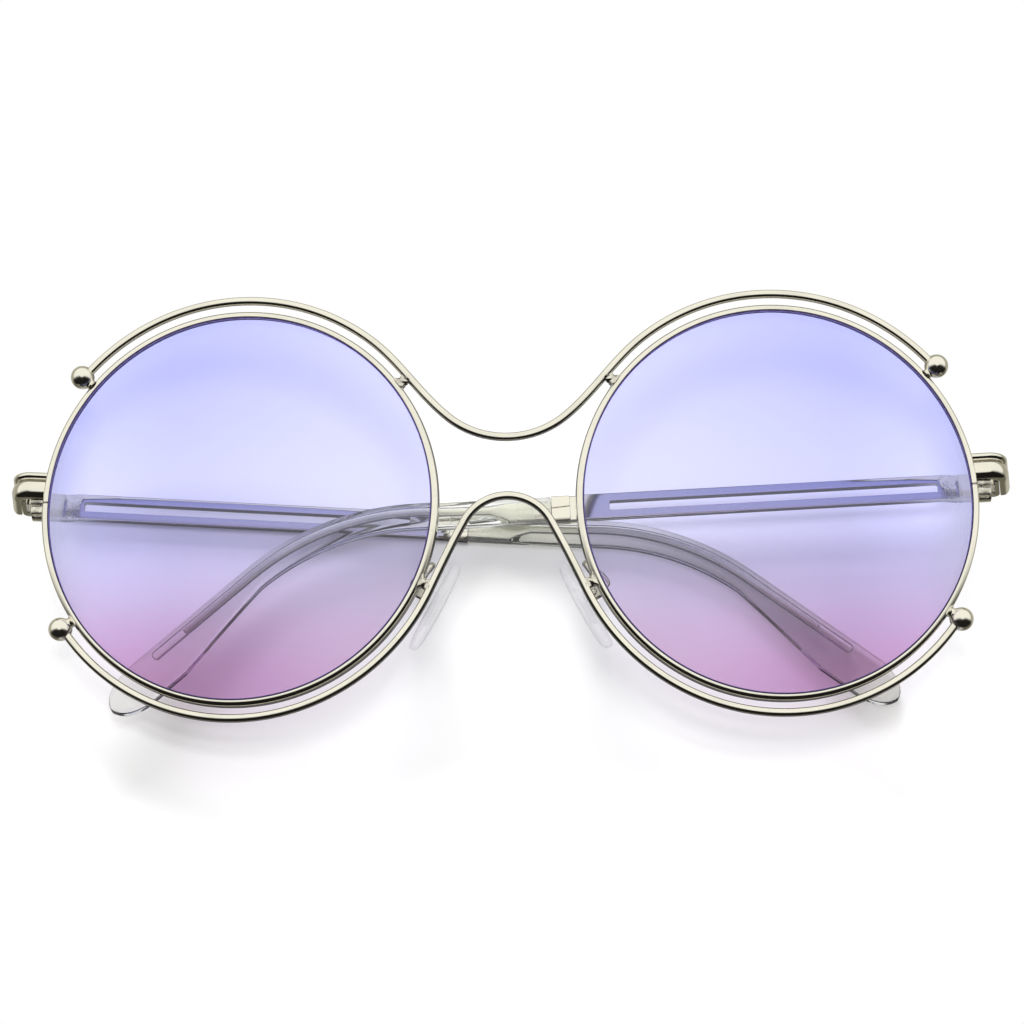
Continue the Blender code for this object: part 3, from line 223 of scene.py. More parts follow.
# Painted shade: shares of the table colour that metal mirrors under the front and beside it
FLOOR_MIRRORED_PAINTED_SHADE_UNDER = 0.15
FLOOR_MIRRORED_PAINTED_SHADE_BESIDE = 0.7

# Heights on the front between which the lens tint runs
TINT_HEIGHTS = (-29 * MM, 27 * MM)

# A lens's painted glare, paler towards the nose: |X| over which it thins out, its most, its colour
LENS_PAINTED_GLARE_REACH = (12 * MM, 62 * MM)
LENS_PAINTED_GLARE_MOST = 0.24
LENS_PAINTED_GLARE_COLOUR = (0.93, 0.93, 1.0)

# A lens's shadow: heights between which it thins out, and its two tints
LENS_SHADOW_HEIGHTS = (-25 * MM, 2 * MM)
LENS_SHADOW_DENSE = (0.5, 0.46, 0.5)
LENS_SHADOW_THIN = (0.92, 0.91, 0.93)
TIP_SHADOW = (0.66, 0.66, 0.62)

# |X| on a temple where its solder zone starts and ends, each as a soft range
SOLDER_ZONE_START = (61.6 * MM, 62.6 * MM)
SOLDER_ZONE_END = (65.2 * MM, 65.6 * MM)

# The part of a temple that its clear tip covers: how far short of the tip it starts, its colour
MOULDED_IN_MARGIN = 0.02 * MM
# Paler colour under the clear tip: a painted reflection of the bright core wire
COVERED_PAINTED_REFLECTION_COLOUR = (0.95, 0.94, 0.86)

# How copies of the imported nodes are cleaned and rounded
JOIN_DISTANCE = 0.002 * MM
FLAT_ANGLE = math.radians(1.0)
CREASE_ANGLE = math.radians(50.0)


# Frames


def lens_matrix(side):
    """Frame of one lens in the front: its centre, turned back at the temple side by the wrap."""
    place = Matrix.Translation((side * LENS_CENTRE_OFFSET, 0, 0))
    return place @ Matrix.Rotation(side * FACE_WRAP, 4, "Y")


def tilt_matrix():
    """The front's plane against the folded temples."""
    return Matrix.Rotation(PANTOSCOPIC_TILT, 4, "X")


def hinge_place(side):
    """Hinge centre in the worn frame, behind and outside the rim's temple end."""
    on_rim = math.asin(HINGE_HEIGHTS[side] / RIM_OUTER_RADIUS)
    local = Vector((side * RIM_OUTER_RADIUS * math.cos(on_rim), HINGE_HEIGHTS[side], 0))
    rim_end = tilt_matrix() @ (lens_matrix(side) @ local)
    across = rim_end.x + side * HINGE_OUTBOARD
    return Vector((across, HINGE_HEIGHTS[side], rim_end.z - ENDPIECE_LENGTH))


def worn_matrix():
    """The front in the row frame, rolled so that only the left temple lies on the table."""
    roll = Matrix.Rotation(-FRONT_ROLL, 4, "Y")
    left_axis = roll @ hinge_place(LEFT)
    forward = -left_axis.x * math.tan(LEFT_LEAN) - left_axis.y
    return Matrix.Translation((0, forward, AXIS_INSET - left_axis.z)) @ roll


def right_temple_drop():
    """Slope at which the upper temple just clears the lower one where both tips cross."""
    axis = worn_matrix() @ hinge_place(RIGHT)
    crossing = (axis - worn_matrix() @ hinge_place(LEFT)).x - TIP_START
    under_side = axis.z + TIP_CENTRE_Z - TIP_THICKNESS / 2
    return math.asin((under_side - TIP_THICKNESS - STACK_GAP) / crossing)


def hinge_matrix(side, swing):
    """Frame on a hinge axis: Y along the axis, X to the right, swung by an angle about Y."""
    lean = -LEFT_LEAN if side == LEFT else RIGHT_LEAN
    place = Matrix.Translation(worn_matrix() @ hinge_place(side))
    return place @ Matrix.Rotation(lean, 4, "Z") @ Matrix.Rotation(-swing, 4, "Y")


def front_matrix():
    """The front's own frame."""
    return worn_matrix() @ tilt_matrix()


def front_lens_matrix(side):
    """A lens's frame in the row frame."""
    return front_matrix() @ lens_matrix(side)


def endpiece_matrix(side):
    """Hinge frame of the endpiece, whose leg splays outwards as it runs back."""
    return hinge_matrix(side, FRONT_ROLL + side * LEG_SPLAY)


def temple_matrix(side):
    """Hinge frame of the folded temple."""
    return hinge_matrix(side, 0 if side == LEFT else right_temple_drop())


def pad_matrix(side):
    """Frame on a nose pad's screw: Y along the pad, X towards the right, Z along the screw."""
    across, high, deep = PAD_PIVOT
    turn = Matrix.Rotation(side * PAD_TILT, 4, "Z") @ Matrix.Rotation(-side * PAD_SPLAY, 4, "Y")
    return front_matrix() @ Matrix.Translation((side * across, high, deep)) @ turn


def put(points, matrix, side=LEFT):
    """Points drawn for the left side, mirrored for the right one, carried by a frame."""
    points = np.asarray(points, float)
    if side == RIGHT:
        points = points * (-1.0, 1.0, 1.0)
    turn = np.array(matrix)
    return points @ turn[:3, :3].T + turn[:3, 3]


# Surfaces


def grid_faces(rows, columns):
    """Quads of a grid of points whose last column joins the first one."""
    i = np.arange(rows - 1)[:, None]
    j = np.arange(columns)[None, :]
    here, below = i * columns, (i + 1) * columns
    beside = (j + 1) % columns
    corners = (here + j, here + beside, below + beside, below + j)
    return np.stack(np.broadcast_arrays(*corners), -1).reshape(-1, 4)


def end_fans(points, rows, columns):
    """Two more points, the middles of the first and last row, and the triangles that join them."""
    first = points[:columns].mean(0)
    last = points[-columns:].mean(0)
    j = np.arange(columns)
    beside = (j + 1) % columns
    count = len(points)
    base = (rows - 1) * columns
    low = np.stack([np.full(columns, count), beside, j], -1)
    high = np.stack([np.full(columns, count + 1), base + j, base + beside], -1)
    return np.vstack([points, first, last]), np.vstack([low, high])


def enclosed_volume(points, faces):
    """Sum of the signed tetrahedra between the origin and every face's triangles."""
    total = 0.0
    for face in faces:
        for i in range(1, face.shape[1] - 1):
            a, b, c = (points[face[:, k]] for k in (0, i, i + 1))
            total += float(np.einsum("ij,ij->", a, np.cross(b, c))) / 6
    return total


def new_mesh(points, faces, sharp):
    """A closed mesh from arrays of points and faces, turned so that its faces point outwards.

    Edges stay sharp where they bend by more than an angle in degrees.
    """
    points = np.asarray(points, float)
    centred = points - points.mean(0)
    if enclosed_volume(centred, faces) < 0:
        faces = [face[:, ::-1] for face in faces]
    totals = np.concatenate([np.full(len(face), face.shape[1]) for face in faces])
    loops = np.concatenate([face.ravel() for face in faces])
    data = bpy.data.meshes.new("surface")
    data.vertices.add(len(points))
    data.vertices.foreach_set("co", points.astype(np.float32).ravel())
    data.loops.add(len(loops))
    data.loops.foreach_set("vertex_index", loops.astype(np.int32))
    data.polygons.add(len(totals))
    starts = np.concatenate([[0], np.cumsum(totals)[:-1]])
    data.polygons.foreach_set("loop_start", starts.astype(np.int32))
    data.polygons.foreach_set("loop_total", totals.astype(np.int32))
    data.update(calc_edges=True)
    data.validate()
    data.shade_smooth()
    data.set_sharp_from_angle(angle=math.radians(sharp))
    return data


def skin(rings, sharp):
    """Mesh over an array of rings (rows, columns, 3), fanned shut at both ends."""
    rows, columns = rings.shape[:2]
    points, fans = end_fans(rings.reshape(-1, 3), rows, columns)
    return new_mesh(points, [grid_faces(rows, columns), fans], sharp)


def link_object(name, data):
    """A new object of the scene, at the origin."""
    item = bpy.data.objects.new(name, data)
    bpy.context.scene.collection.objects.link(item)
    return item


def add_piece(node, data, finish, body):
    """Link a finished mesh as a piece that rides on a body and stands for its node."""
    data.name = node + "_fine"
    item = link_object(node + "_fine", data)
    item.data.materials.append(finish)
    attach(item, body)
    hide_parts(node)
    return item


def dress_copy(node, rounding, finish):
    """A merged copy of a node's mesh, riding on the node's body in the node's stead.

    Doubles are joined and flat fans dissolved first, so that a bevel can round the edges.
    """
    data = frame["nodes"][node].data.copy()
    shape = bmesh.new()
    shape.from_mesh(data)
    bmesh.ops.remove_doubles(shape, verts=shape.verts, dist=JOIN_DISTANCE)
    bmesh.ops.dissolve_limit(shape, angle_limit=FLAT_ANGLE, verts=shape.verts,
                             edges=shape.edges)
    shape.to_mesh(data)
    shape.free()
    data.materials.clear()
    data.shade_smooth()
    data.set_sharp_from_angle(angle=CREASE_ANGLE)
    item = add_piece(node, data, finish, frame["nodes"][node]["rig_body"])
    step = item.modifiers.new("Rounded edges", "BEVEL")
    step.width = rounding
    step.segments = 2
    step.limit_method = "ANGLE"
    step.angle_limit = CREASE_ANGLE
    return item


def mark_moulded_in(data, side):
    """Point attribute, 1 on the part of a temple that its clear tip covers and 0 elsewhere."""
    points = np.empty(len(data.vertices) * 3, np.float32)
    data.vertices.foreach_get("co", points)
    along = put(points.reshape(-1, 3), temple_matrix(side).inverted())[:, 0] * -side
    covered = (np.abs(along) > TIP_START - MOULDED_IN_MARGIN).astype(np.float32)
    data.attributes.new("moulded_in", "FLOAT", "POINT").data.foreach_set("value", covered)


def bezier(start, start_pull, end_pull, end, count):
    """Cubic curve between two ends: s^3 a + 3 s^2 t b + 3 s t^2 c + t^3 d, without its ends."""
    t = np.linspace(0, 1, count + 1)[1:-1, None]
    s = 1 - t
    return s ** 3 * start + 3 * s * s * t * start_pull + 3 * s * t * t * end_pull + t ** 3 * end


def bridge_depth(across):
    """Forward place of an outer wire: the lens plane's slope, over the nose a parabola."""
    reach = np.abs(across)
    blended = (reach ** 2 + BRIDGE_BLEND_HALF ** 2) / (2 * BRIDGE_BLEND_HALF)
    reach = np.where(reach < BRIDGE_BLEND_HALF, blended, reach)
    return ((LENS_CENTRE_OFFSET - reach) * math.tan(FACE_WRAP)
            - OUTER_WIRE_RADIUS / math.cos(FACE_WRAP))


def wire_path(ball_angle, leave_angle, crest, radius, sweep, turn):
    """Centre line of an outer wire in the front's frame: ring arc, easy curve, bridge arc.

    One half is worked out and mirrored.
    The ring arc is (R cos a, R sin a) about the lens centre, and the bridge arc is
    (r sin b, crest +/- r (1 - cos b)) about the nose line.
    """
    ring_count, bridge_count, curve_count = 110, 28, 26
    inside = math.asin((BALL_RADIUS + SOLDER_GAP - WIRE_INTO_BALL) / WIRE_RING_RADIUS)
    first = ball_angle + math.copysign(inside, leave_angle - ball_angle)
    angle = np.linspace(first, leave_angle, ring_count)
    local = np.stack([WIRE_RING_RADIUS * np.cos(angle), WIRE_RING_RADIUS * np.sin(angle),
                      np.full(len(angle), -OUTER_WIRE_RADIUS)], -1)
    ring = put(local, lens_matrix(RIGHT))[:, :2]
    angle = np.linspace(sweep, 0, bridge_count)
    arc = np.stack([radius * np.sin(angle), crest + turn * radius * (1 - np.cos(angle))], -1)
    pull = np.linalg.norm(ring[-1] - arc[0]) / 3
    heading = (ring[-1] - ring[-2]) / np.linalg.norm(ring[-1] - ring[-2])
    arriving = (arc[1] - arc[0]) / np.linalg.norm(arc[1] - arc[0])
    between = bezier(ring[-1], ring[-1] + pull * heading, arc[0] - pull * arriving, arc[0],
                     curve_count)
    half = np.vstack([ring, between, arc])
    flat = np.vstack([half, half[-2::-1] * (-1, 1)])
    return np.column_stack([flat, bridge_depth(flat[:, 0])])


def brow_path():
    """Centre line of the brow wire."""
    return wire_path(BROW_BALL_ANGLE, BROW_LEAVE_ANGLE, BROW_DIP_HEIGHT, BROW_DIP_RADIUS,
                     BROW_DIP_SWEEP, 1)


def lower_path():
    """Centre line of the lower wire."""
    return wire_path(LOWER_BALL_ANGLE, LOWER_LEAVE_ANGLE, ARCH_HEIGHT, ARCH_RADIUS,
                     ARCH_SWEEP, -1)


def flattened(wave, fullness):
    """A sine or cosine raised to a power by size, sign kept: under 1, a circle's faces flatten."""
    return np.sign(wave) * np.abs(wave) ** fullness


def tube(path, radius, reference, sides, fullness=1.0):
    """Rings round a path: path + radius (cos a side + sin a up), square to the path's tangent."""
    tangent = np.gradient(path, axis=0)
    tangent /= np.linalg.norm(tangent, axis=1)[:, None]
    beside = np.cross(tangent, reference)
    beside /= np.linalg.norm(beside, axis=1)[:, None]
    above = np.cross(beside, tangent)
    angle = np.linspace(0, math.tau, sides, endpoint=False)
    radius = np.broadcast_to(radius, (len(path),))[:, None, None]
    wide, high = flattened(np.cos(angle), fullness), flattened(np.sin(angle), fullness)
    circle = wide[None, :, None] * beside[:, None] + high[None, :, None] * above[:, None]
    return path[:, None] + radius * circle


def turned(profile, segments):
    """Rings of a (radius, forward) profile turned round Z: (r cos a, r sin a, z)."""
    angle = np.linspace(0, math.tau, segments, endpoint=False)
    r, z = profile[:, :1], profile[:, 1:]
    return np.stack([r * np.cos(angle), r * np.sin(angle),
                     np.broadcast_to(z, (len(profile), segments))], -1)


def arc_points(centre, radius, start, end, count):
    """Points of a circle's arc in a plane, angles in degrees."""
    angle = np.radians(np.linspace(start, end, count))
    return np.stack([centre[0] + radius * np.cos(angle), centre[1] + radius * np.sin(angle)], -1)


def rounded_section(outer, inner, half_deep, corner):
    """Rounded rectangle of (sideways, inward) points: four quarter arcs about corner centres."""
    right, left = outer - corner, corner - inner
    front, back = half_deep - corner, corner - half_deep
    centres = ((right, front, 0), (left, front, 90), (left, back, 180), (right, back, 270))
    return np.vstack([arc_points((x, z), corner, turn, turn + 90, CORNER_POINTS)
                      for x, z, turn in centres])


def temple_line(along, bend):
    """(x, y, bend so far) on a temple's centre line: straight, an arc, straight again."""
    bent = np.clip((along - BEND_START) / BEND_RADIUS, 0, bend)
    rest = np.maximum(along - BEND_START - BEND_RADIUS * bent, 0) * (along > BEND_START)
    x = np.where(along < BEND_START, along, BEND_START + BEND_RADIUS * np.sin(bent))
    y = -BEND_RADIUS * (1 - np.cos(bent))
    return x + rest * np.cos(bent), y - rest * np.sin(bent), bent


def temple_rings(stations, bend):
    """Rings across the temple's centre line from rows of (along, aside, section)."""
    along = np.array([row[0] for row in stations])
    aside = np.array([row[1] for row in stations])[:, None]
    sections = np.stack([row[2] for row in stations])
    x, y, bent = (value[:, None] for value in temple_line(along, bend))
    across = sections[..., 0] + aside
    return np.stack([x + across * np.sin(bent), y + across * np.cos(bent),
                     TIP_CENTRE_Z + sections[..., 1]], -1)


# Finishes


def group_tree(name, fineness, amount):
    """A node group with the inputs Fineness and Amount and the outputs Mask and Height."""
    tree = bpy.data.node_groups.new(name, "ShaderNodeTree")
    for label, value in (("Fineness", fineness), ("Amount", amount)):
        socket = tree.interface.new_socket(label, in_out="INPUT", socket_type="NodeSocketFloat")
        socket.default_value = value
    for label in ("Mask", "Height"):
        tree.interface.new_socket(label, in_out="OUTPUT", socket_type="NodeSocketFloat")
    given = tree.nodes.new("NodeGroupInput").outputs
    made = tree.nodes.new("NodeGroupOutput").inputs
    return tree, given, made


def add_math(tree, operation, first, second=None, third=None):
    """One Math node; a socket is linked and a number is set."""
    node = tree.nodes.new("ShaderNodeMath")
    node.operation = operation
    for place, value in enumerate((first, second, third)):
        if value is None:
            continue
        if isinstance(value, (int, float)):
            node.inputs[place].default_value = value
        else:
            tree.links.new(value, node.inputs[place])
    return node.outputs[0]


def add_noise(tree, vector, scale, detail, roughness=0.5):
    """One Noise Texture's value; a scale's socket is linked and a number is set."""
    node = tree.nodes.new("ShaderNodeTexNoise")
    node.inputs["Detail"].default_value = detail
    node.inputs["Roughness"].default_value = roughness
    if isinstance(scale, (int, float)):
        node.inputs["Scale"].default_value = scale
    else:
        tree.links.new(scale, node.inputs["Scale"])
    tree.links.new(vector, node.inputs["Vector"])
    return node.outputs["Fac"]


def add_range(tree, value, low, high, to_low=0.0, to_high=1.0):
    """One Map Range node with soft ends, by default from 0 up to 1."""
    node = tree.nodes.new("ShaderNodeMapRange")
    node.interpolation_type = "SMOOTHSTEP"
    for label, number in (("From Min", low), ("From Max", high), ("To Min", to_low),
                          ("To Max", to_high)):
        node.inputs[label].default_value = number
    tree.links.new(value, node.inputs["Value"])
    return node.outputs["Result"]


def add_fall(tree, value, low, high, most=1.0):
    """A soft fall to 0 between two values."""
    return add_range(tree, value, low, high, to_low=most, to_high=0.0)


def add_mix(tree, factor, first, second):
    """One colour Mix node; a socket is linked and a colour is set."""
    node = tree.nodes.new("ShaderNodeMix")
    node.data_type = "RGBA"
    for socket, value in ((node.inputs[0], factor), (node.inputs[6], first),
                          (node.inputs[7], second)):
        if isinstance(value, (int, float)):
            socket.default_value = value
        elif isinstance(value, tuple):
            socket.default_value = (*value, 1.0)
        else:
            tree.links.new(value, socket)
    return node.outputs[2]


def add_split(tree, vector):
    """The X, Y and Z outputs of a vector."""
    node = tree.nodes.new("ShaderNodeSeparateXYZ")
    tree.links.new(vector, node.inputs[0])
    return node.outputs


def object_place(tree, scale=(1.0, 1.0, 1.0), turn=(0.0, 0.0, 0.0)):
    """Object coordinates through a Mapping node."""
    coordinate = tree.nodes.new("ShaderNodeTexCoord")
    mapping = tree.nodes.new("ShaderNodeMapping")
    mapping.inputs["Scale"].default_value = scale
    mapping.inputs["Rotation"].default_value = turn
    tree.links.new(coordinate.outputs["Object"], mapping.inputs["Vector"])
    return mapping.outputs["Vector"]


def polish_marks(name):
    """Hairline polish marks: two stretched noises crossing, kept where a coarse noise is high."""
    tree, given, made = group_tree(name, fineness=900.0, amount=0.5)
    upright = object_place(tree, scale=(1, 14, 3), turn=(0, 0, 0.5))
    level = object_place(tree, scale=(12, 1, 3), turn=(0, 0.3, 0.2))
    one = add_noise(tree, upright, given["Fineness"], detail=2)
    two = add_noise(tree, level, given["Fineness"], detail=2)
    coarse = add_range(tree, add_noise(tree, object_place(tree), scale=160.0, detail=3), 0.4, 0.65)
    lines = add_math(tree, "MAXIMUM", add_range(tree, one, 0.6, 0.75),
                     add_range(tree, two, 0.62, 0.76))
    mask = add_math(tree, "MULTIPLY", add_math(tree, "MULTIPLY", lines, coarse), given["Amount"])
    tree.links.new(mask, made["Mask"])
    tree.links.new(add_math(tree, "SUBTRACT", 1.0, mask), made["Height"])
    return tree


def solder_grain(name):
    """Solder and casting skin: round cells of a Voronoi texture over a soft noise."""
    tree, given, made = group_tree(name, fineness=2600.0, amount=0.6)
    cells = tree.nodes.new("ShaderNodeTexVoronoi")
    cells.feature = "F1"
    tree.links.new(object_place(tree), cells.inputs["Vector"])
    tree.links.new(given["Fineness"], cells.inputs["Scale"])
    soft = add_noise(tree, object_place(tree), scale=1400.0, detail=4, roughness=0.6)
    pits = add_range(tree, cells.outputs["Distance"], 0.15, 0.6)
    height = add_math(tree, "MULTIPLY", add_math(tree, "MULTIPLY", pits, soft), given["Amount"])
    mask = add_math(tree, "MULTIPLY", add_range(tree, soft, 0.35, 0.62), given["Amount"])
    tree.links.new(mask, made["Mask"])
    tree.links.new(height, made["Height"])
    return tree


def handling_haze(name):
    """Faint handling haze and dust on clear surfaces: a wide noise with sparse fine specks."""
    tree, given, made = group_tree(name, fineness=60.0, amount=0.5)
    place = object_place(tree)
    wide = add_range(tree, add_noise(tree, place, given["Fineness"], detail=4), 0.45, 0.75)
    specks = add_range(tree, add_noise(tree, place, scale=3200.0, detail=1), 0.72, 0.78)
    mask = add_math(tree, "MULTIPLY", add_math(tree, "MAXIMUM", wide, specks), given["Amount"])
    tree.links.new(mask, made["Mask"])
    tree.links.new(add_noise(tree, place, scale=240.0, detail=2), made["Height"])
    return tree


GROUP_MAKERS = {"Polish marks": polish_marks, "Solder grain": solder_grain,
                "Handling haze": handling_haze}


def place_group(tree, name, fineness, amount):
    """The outputs of a shared node group, made once and placed with a material's own values."""
    node = tree.nodes.new("ShaderNodeGroup")
    node.node_tree = bpy.data.node_groups.get(name) or GROUP_MAKERS[name](name)
    node.inputs["Fineness"].default_value = fineness
    node.inputs["Amount"].default_value = amount
    return node.outputs


def made_once(name):
    """Decorator of a material's maker: the named material is handed back where it exists."""
    def wrap(maker):
        @functools.wraps(maker)
        def found_or_made():
            return bpy.data.materials.get(name) or maker(name)
        return found_or_made
    return wrap


def shaded(colour, level):
    """A colour times a level."""
    return tuple(level * value for value in colour)


def start_finish(name, colour, roughness, metallic=0.0):
    """A material with its Principled shader's own constants set."""
    finish = bpy.data.materials.new(name)
    finish.use_nodes = True
    shader = finish.node_tree.nodes["Principled BSDF"]
    shader.inputs["Base Color"].default_value = (*colour, 1.0)
    shader.inputs["Roughness"].default_value = roughness
    shader.inputs["Metallic"].default_value = metallic
    finish.diffuse_color = (*colour, 1.0)
    return finish, finish.node_tree, shader


def add_bump(tree, shader, height, strength, distance):
    """A Bump node that feeds the shader's normal."""
    bump = tree.nodes.new("ShaderNodeBump")
    bump.inputs["Strength"].default_value = strength
    bump.inputs["Distance"].default_value = distance
    tree.links.new(height, bump.inputs["Height"])
    tree.links.new(bump.outputs["Normal"], shader.inputs["Normal"])


@made_once("Polished nickel silver")
def polished_silver(name):
    """Polished pale nickel silver: bright, a little warm, with hairline polish marks."""
    colour = tuple(settings().metal_colour)
    finish, tree, shader = start_finish(name, colour, roughness=0.1, metallic=1.0)
    marks = place_group(tree, "Polish marks", fineness=900.0, amount=0.6)
    cloud = add_range(tree, add_noise(tree, object_place(tree), scale=220.0, detail=3), 0.35, 0.7)
    dull = shaded(colour, 0.86)
    base = add_mix(tree, add_math(tree, "MULTIPLY", cloud, 0.5), colour, dull)
    tree.links.new(add_mix(tree, marks["Mask"], base, dull), shader.inputs["Base Color"])
    rough = add_math(tree, "ADD", add_math(tree, "MULTIPLY", cloud, 0.05), settings().polish)
    tree.links.new(add_math(tree, "MULTIPLY_ADD", marks["Mask"], 0.14, rough),
                   shader.inputs["Roughness"])
    add_bump(tree, shader, marks["Height"], strength=0.03, distance=0.01 * MM)
    return finish


@made_once("Soft nickel silver")
def soft_silver(name):
    """Barrel-polished metal of the ball ends: the same pale silver with softer reflections."""
    colour = tuple(settings().metal_colour)
    finish, tree, shader = start_finish(name, colour, roughness=0.17, metallic=1.0)
    marks = place_group(tree, "Polish marks", fineness=900.0, amount=0.6)
    tree.links.new(add_mix(tree, marks["Mask"], colour, shaded(colour, 0.8)),
                   shader.inputs["Base Color"])
    cloud = add_range(tree, add_noise(tree, object_place(tree), scale=400.0, detail=3), 0.35, 0.7)
    tree.links.new(add_math(tree, "MULTIPLY_ADD", cloud, 0.06, 0.15), shader.inputs["Roughness"])
    return finish


@made_once("Satin nickel")
def satin_silver(name):
    """Satin nickel of cast and soldered places: grainy, a little darker in its pits."""
    colour = shaded(settings().metal_colour, 0.92)
    finish, tree, shader = start_finish(name, colour, roughness=0.2, metallic=1.0)
    grain = place_group(tree, "Solder grain", fineness=1900.0, amount=0.6)
    tree.links.new(add_mix(tree, grain["Mask"], colour, shaded(colour, 0.55)),
                   shader.inputs["Base Color"])
    tree.links.new(add_math(tree, "MULTIPLY_ADD", grain["Mask"], 0.16, 0.14),
                   shader.inputs["Roughness"])
    add_bump(tree, shader, grain["Height"], strength=0.4, distance=0.03 * MM)
    return finish


@made_once("Temple nickel silver")
def temple_silver(name):
    """Polished nickel silver with a grainy solder zone where the hinge leaf's ramp is.

    Under the clear tip, where the attribute moulded_in is 1, it is duller and paler;
    the paler colour is a painted reflection of the bright core wire.
    """
    colour = tuple(settings().metal_colour)
    finish, tree, shader = start_finish(name, colour, roughness=0.1, metallic=1.0)
    away = add_math(tree, "ABSOLUTE", add_split(tree, object_place(tree))["X"])
    zone = add_math(tree, "MULTIPLY", add_range(tree, away, *SOLDER_ZONE_START),
                    add_fall(tree, away, *SOLDER_ZONE_END))
    grain = place_group(tree, "Solder grain", fineness=2300.0, amount=1.0)
    marks = place_group(tree, "Polish marks", fineness=900.0, amount=0.6)
    spots = add_math(tree, "MULTIPLY", zone, grain["Mask"])
    attribute = tree.nodes.new("ShaderNodeAttribute")
    attribute.attribute_name = "moulded_in"
    inside = attribute.outputs["Fac"]
    # Painted reflection: paler where the clear tip covers the core wire
    covered_painted_reflection = add_mix(tree, inside, colour, COVERED_PAINTED_REFLECTION_COLOUR)
    tree.links.new(add_mix(tree, spots, covered_painted_reflection, shaded(colour, 0.86)), shader.inputs["Base Color"])
    rough = add_math(tree, "MULTIPLY_ADD", marks["Mask"], 0.14, settings().polish)
    rough = add_math(tree, "MULTIPLY_ADD", inside, 0.22, rough)
    tree.links.new(add_math(tree, "MULTIPLY_ADD", spots, 0.2, rough), shader.inputs["Roughness"])
    tree.links.new(add_math(tree, "MULTIPLY_ADD", inside, -0.6, 1.0), shader.inputs["Metallic"])
    add_bump(tree, shader, add_math(tree, "MULTIPLY", zone, grain["Height"]), strength=0.5,
             distance=0.06 * MM)
    return finish


@made_once("Ground lens edge")
def ground_edge(name):
    """Ground lens edge: matt, darker violet, with a fine grain."""
    # Partly the ground edge's own tone, partly a painted shadow of the rim over the lens edge
    violet, pits = (0.17, 0.14, 0.42), (0.09, 0.07, 0.2)
    finish, tree, shader = start_finish(name, violet, roughness=0.5)
    grain = place_group(tree, "Solder grain", fineness=3000.0, amount=0.5)
    tree.links.new(add_mix(tree, grain["Mask"], violet, pits), shader.inputs["Base Color"])
    add_bump(tree, shader, grain["Height"], strength=0.2, distance=0.02 * MM)
    return finish


def let_shadows_through(tree, shader, shade):
    """Let shadow rays pass through clear material, tinted by a colour or a colour's socket."""
    clear = tree.nodes.new("ShaderNodeBsdfTransparent")
    if isinstance(shade, tuple):
        clear.inputs["Color"].default_value = (*shade, 1.0)
    else:
        tree.links.new(shade, clear.inputs["Color"])
    path = tree.nodes.new("ShaderNodeLightPath")
    mix = tree.nodes.new("ShaderNodeMixShader")
    tree.links.new(path.outputs["Is Shadow Ray"], mix.inputs[0])
    tree.links.new(shader.outputs["BSDF"], mix.inputs[1])
    tree.links.new(clear.outputs["BSDF"], mix.inputs[2])
    tree.links.new(mix.outputs[0], tree.nodes["Material Output"].inputs["Surface"])


def add_ramp(tree, value, stops, interpolation="LINEAR"):
    """One colour ramp over rows of (position, colour)."""
    node = tree.nodes.new("ShaderNodeValToRGB")
    node.color_ramp.interpolation = interpolation
    points = node.color_ramp.elements
    points.remove(points[1])
    points[0].position, points[0].color = stops[0][0], (*stops[0][1], 1.0)
    for position, colour in stops[1:]:
        points.new(position).color = (*colour, 1.0)
    tree.links.new(value, node.inputs[0])
    return node.outputs[0]


@made_once("Gradient lens")
def gradient_lens(name):
    """Lens tint that runs from periwinkle at the brow through near clear to pink at the cheek.

    The ramp's place is Y between the tint's two heights, moved a little by a wide noise.
    """
    chosen = settings()
    finish, tree, shader = start_finish(name, tuple(chosen.lens_middle), roughness=0.0)
    place = object_place(tree)
    split = add_split(tree, place)
    low, high = TINT_HEIGHTS
    height = add_math(tree, "MULTIPLY_ADD", split["Y"], 1 / (high - low),
                      -low / (high - low) - 0.01)
    wander = add_noise(tree, place, scale=30.0, detail=1)
    height = add_math(tree, "MULTIPLY_ADD", wander, 0.02, height)
    stops = [(0.0, chosen.lens_bottom), (0.12, chosen.lens_bottom), (0.3, chosen.lens_low),
             (0.52, chosen.lens_middle), (0.75, chosen.lens_high), (1.0, chosen.lens_top)]
    ramp = add_ramp(tree, height, stops, "B_SPLINE")
    # Painted glare: the tint is paler towards the nose, fading out by the outer edges
    veil = add_fall(tree, add_math(tree, "ABSOLUTE", split["X"]), *LENS_PAINTED_GLARE_REACH,
                    most=LENS_PAINTED_GLARE_MOST)
    haze = place_group(tree, "Handling haze", fineness=60.0, amount=0.3)
    tree.links.new(add_mix(tree, veil, ramp, LENS_PAINTED_GLARE_COLOUR), shader.inputs["Base Color"])
    tree.links.new(add_math(tree, "MULTIPLY", haze["Mask"], 0.02), shader.inputs["Roughness"])
    shader.inputs["Transmission Weight"].default_value = 1.0
    shader.inputs["IOR"].default_value = 1.5
    add_bump(tree, shader, haze["Height"], strength=0.01, distance=0.01 * MM)
    lowering = add_fall(tree, split["Y"], *LENS_SHADOW_HEIGHTS)
    let_shadows_through(tree, shader,
                        add_mix(tree, lowering, LENS_SHADOW_THIN, LENS_SHADOW_DENSE))
    return finish


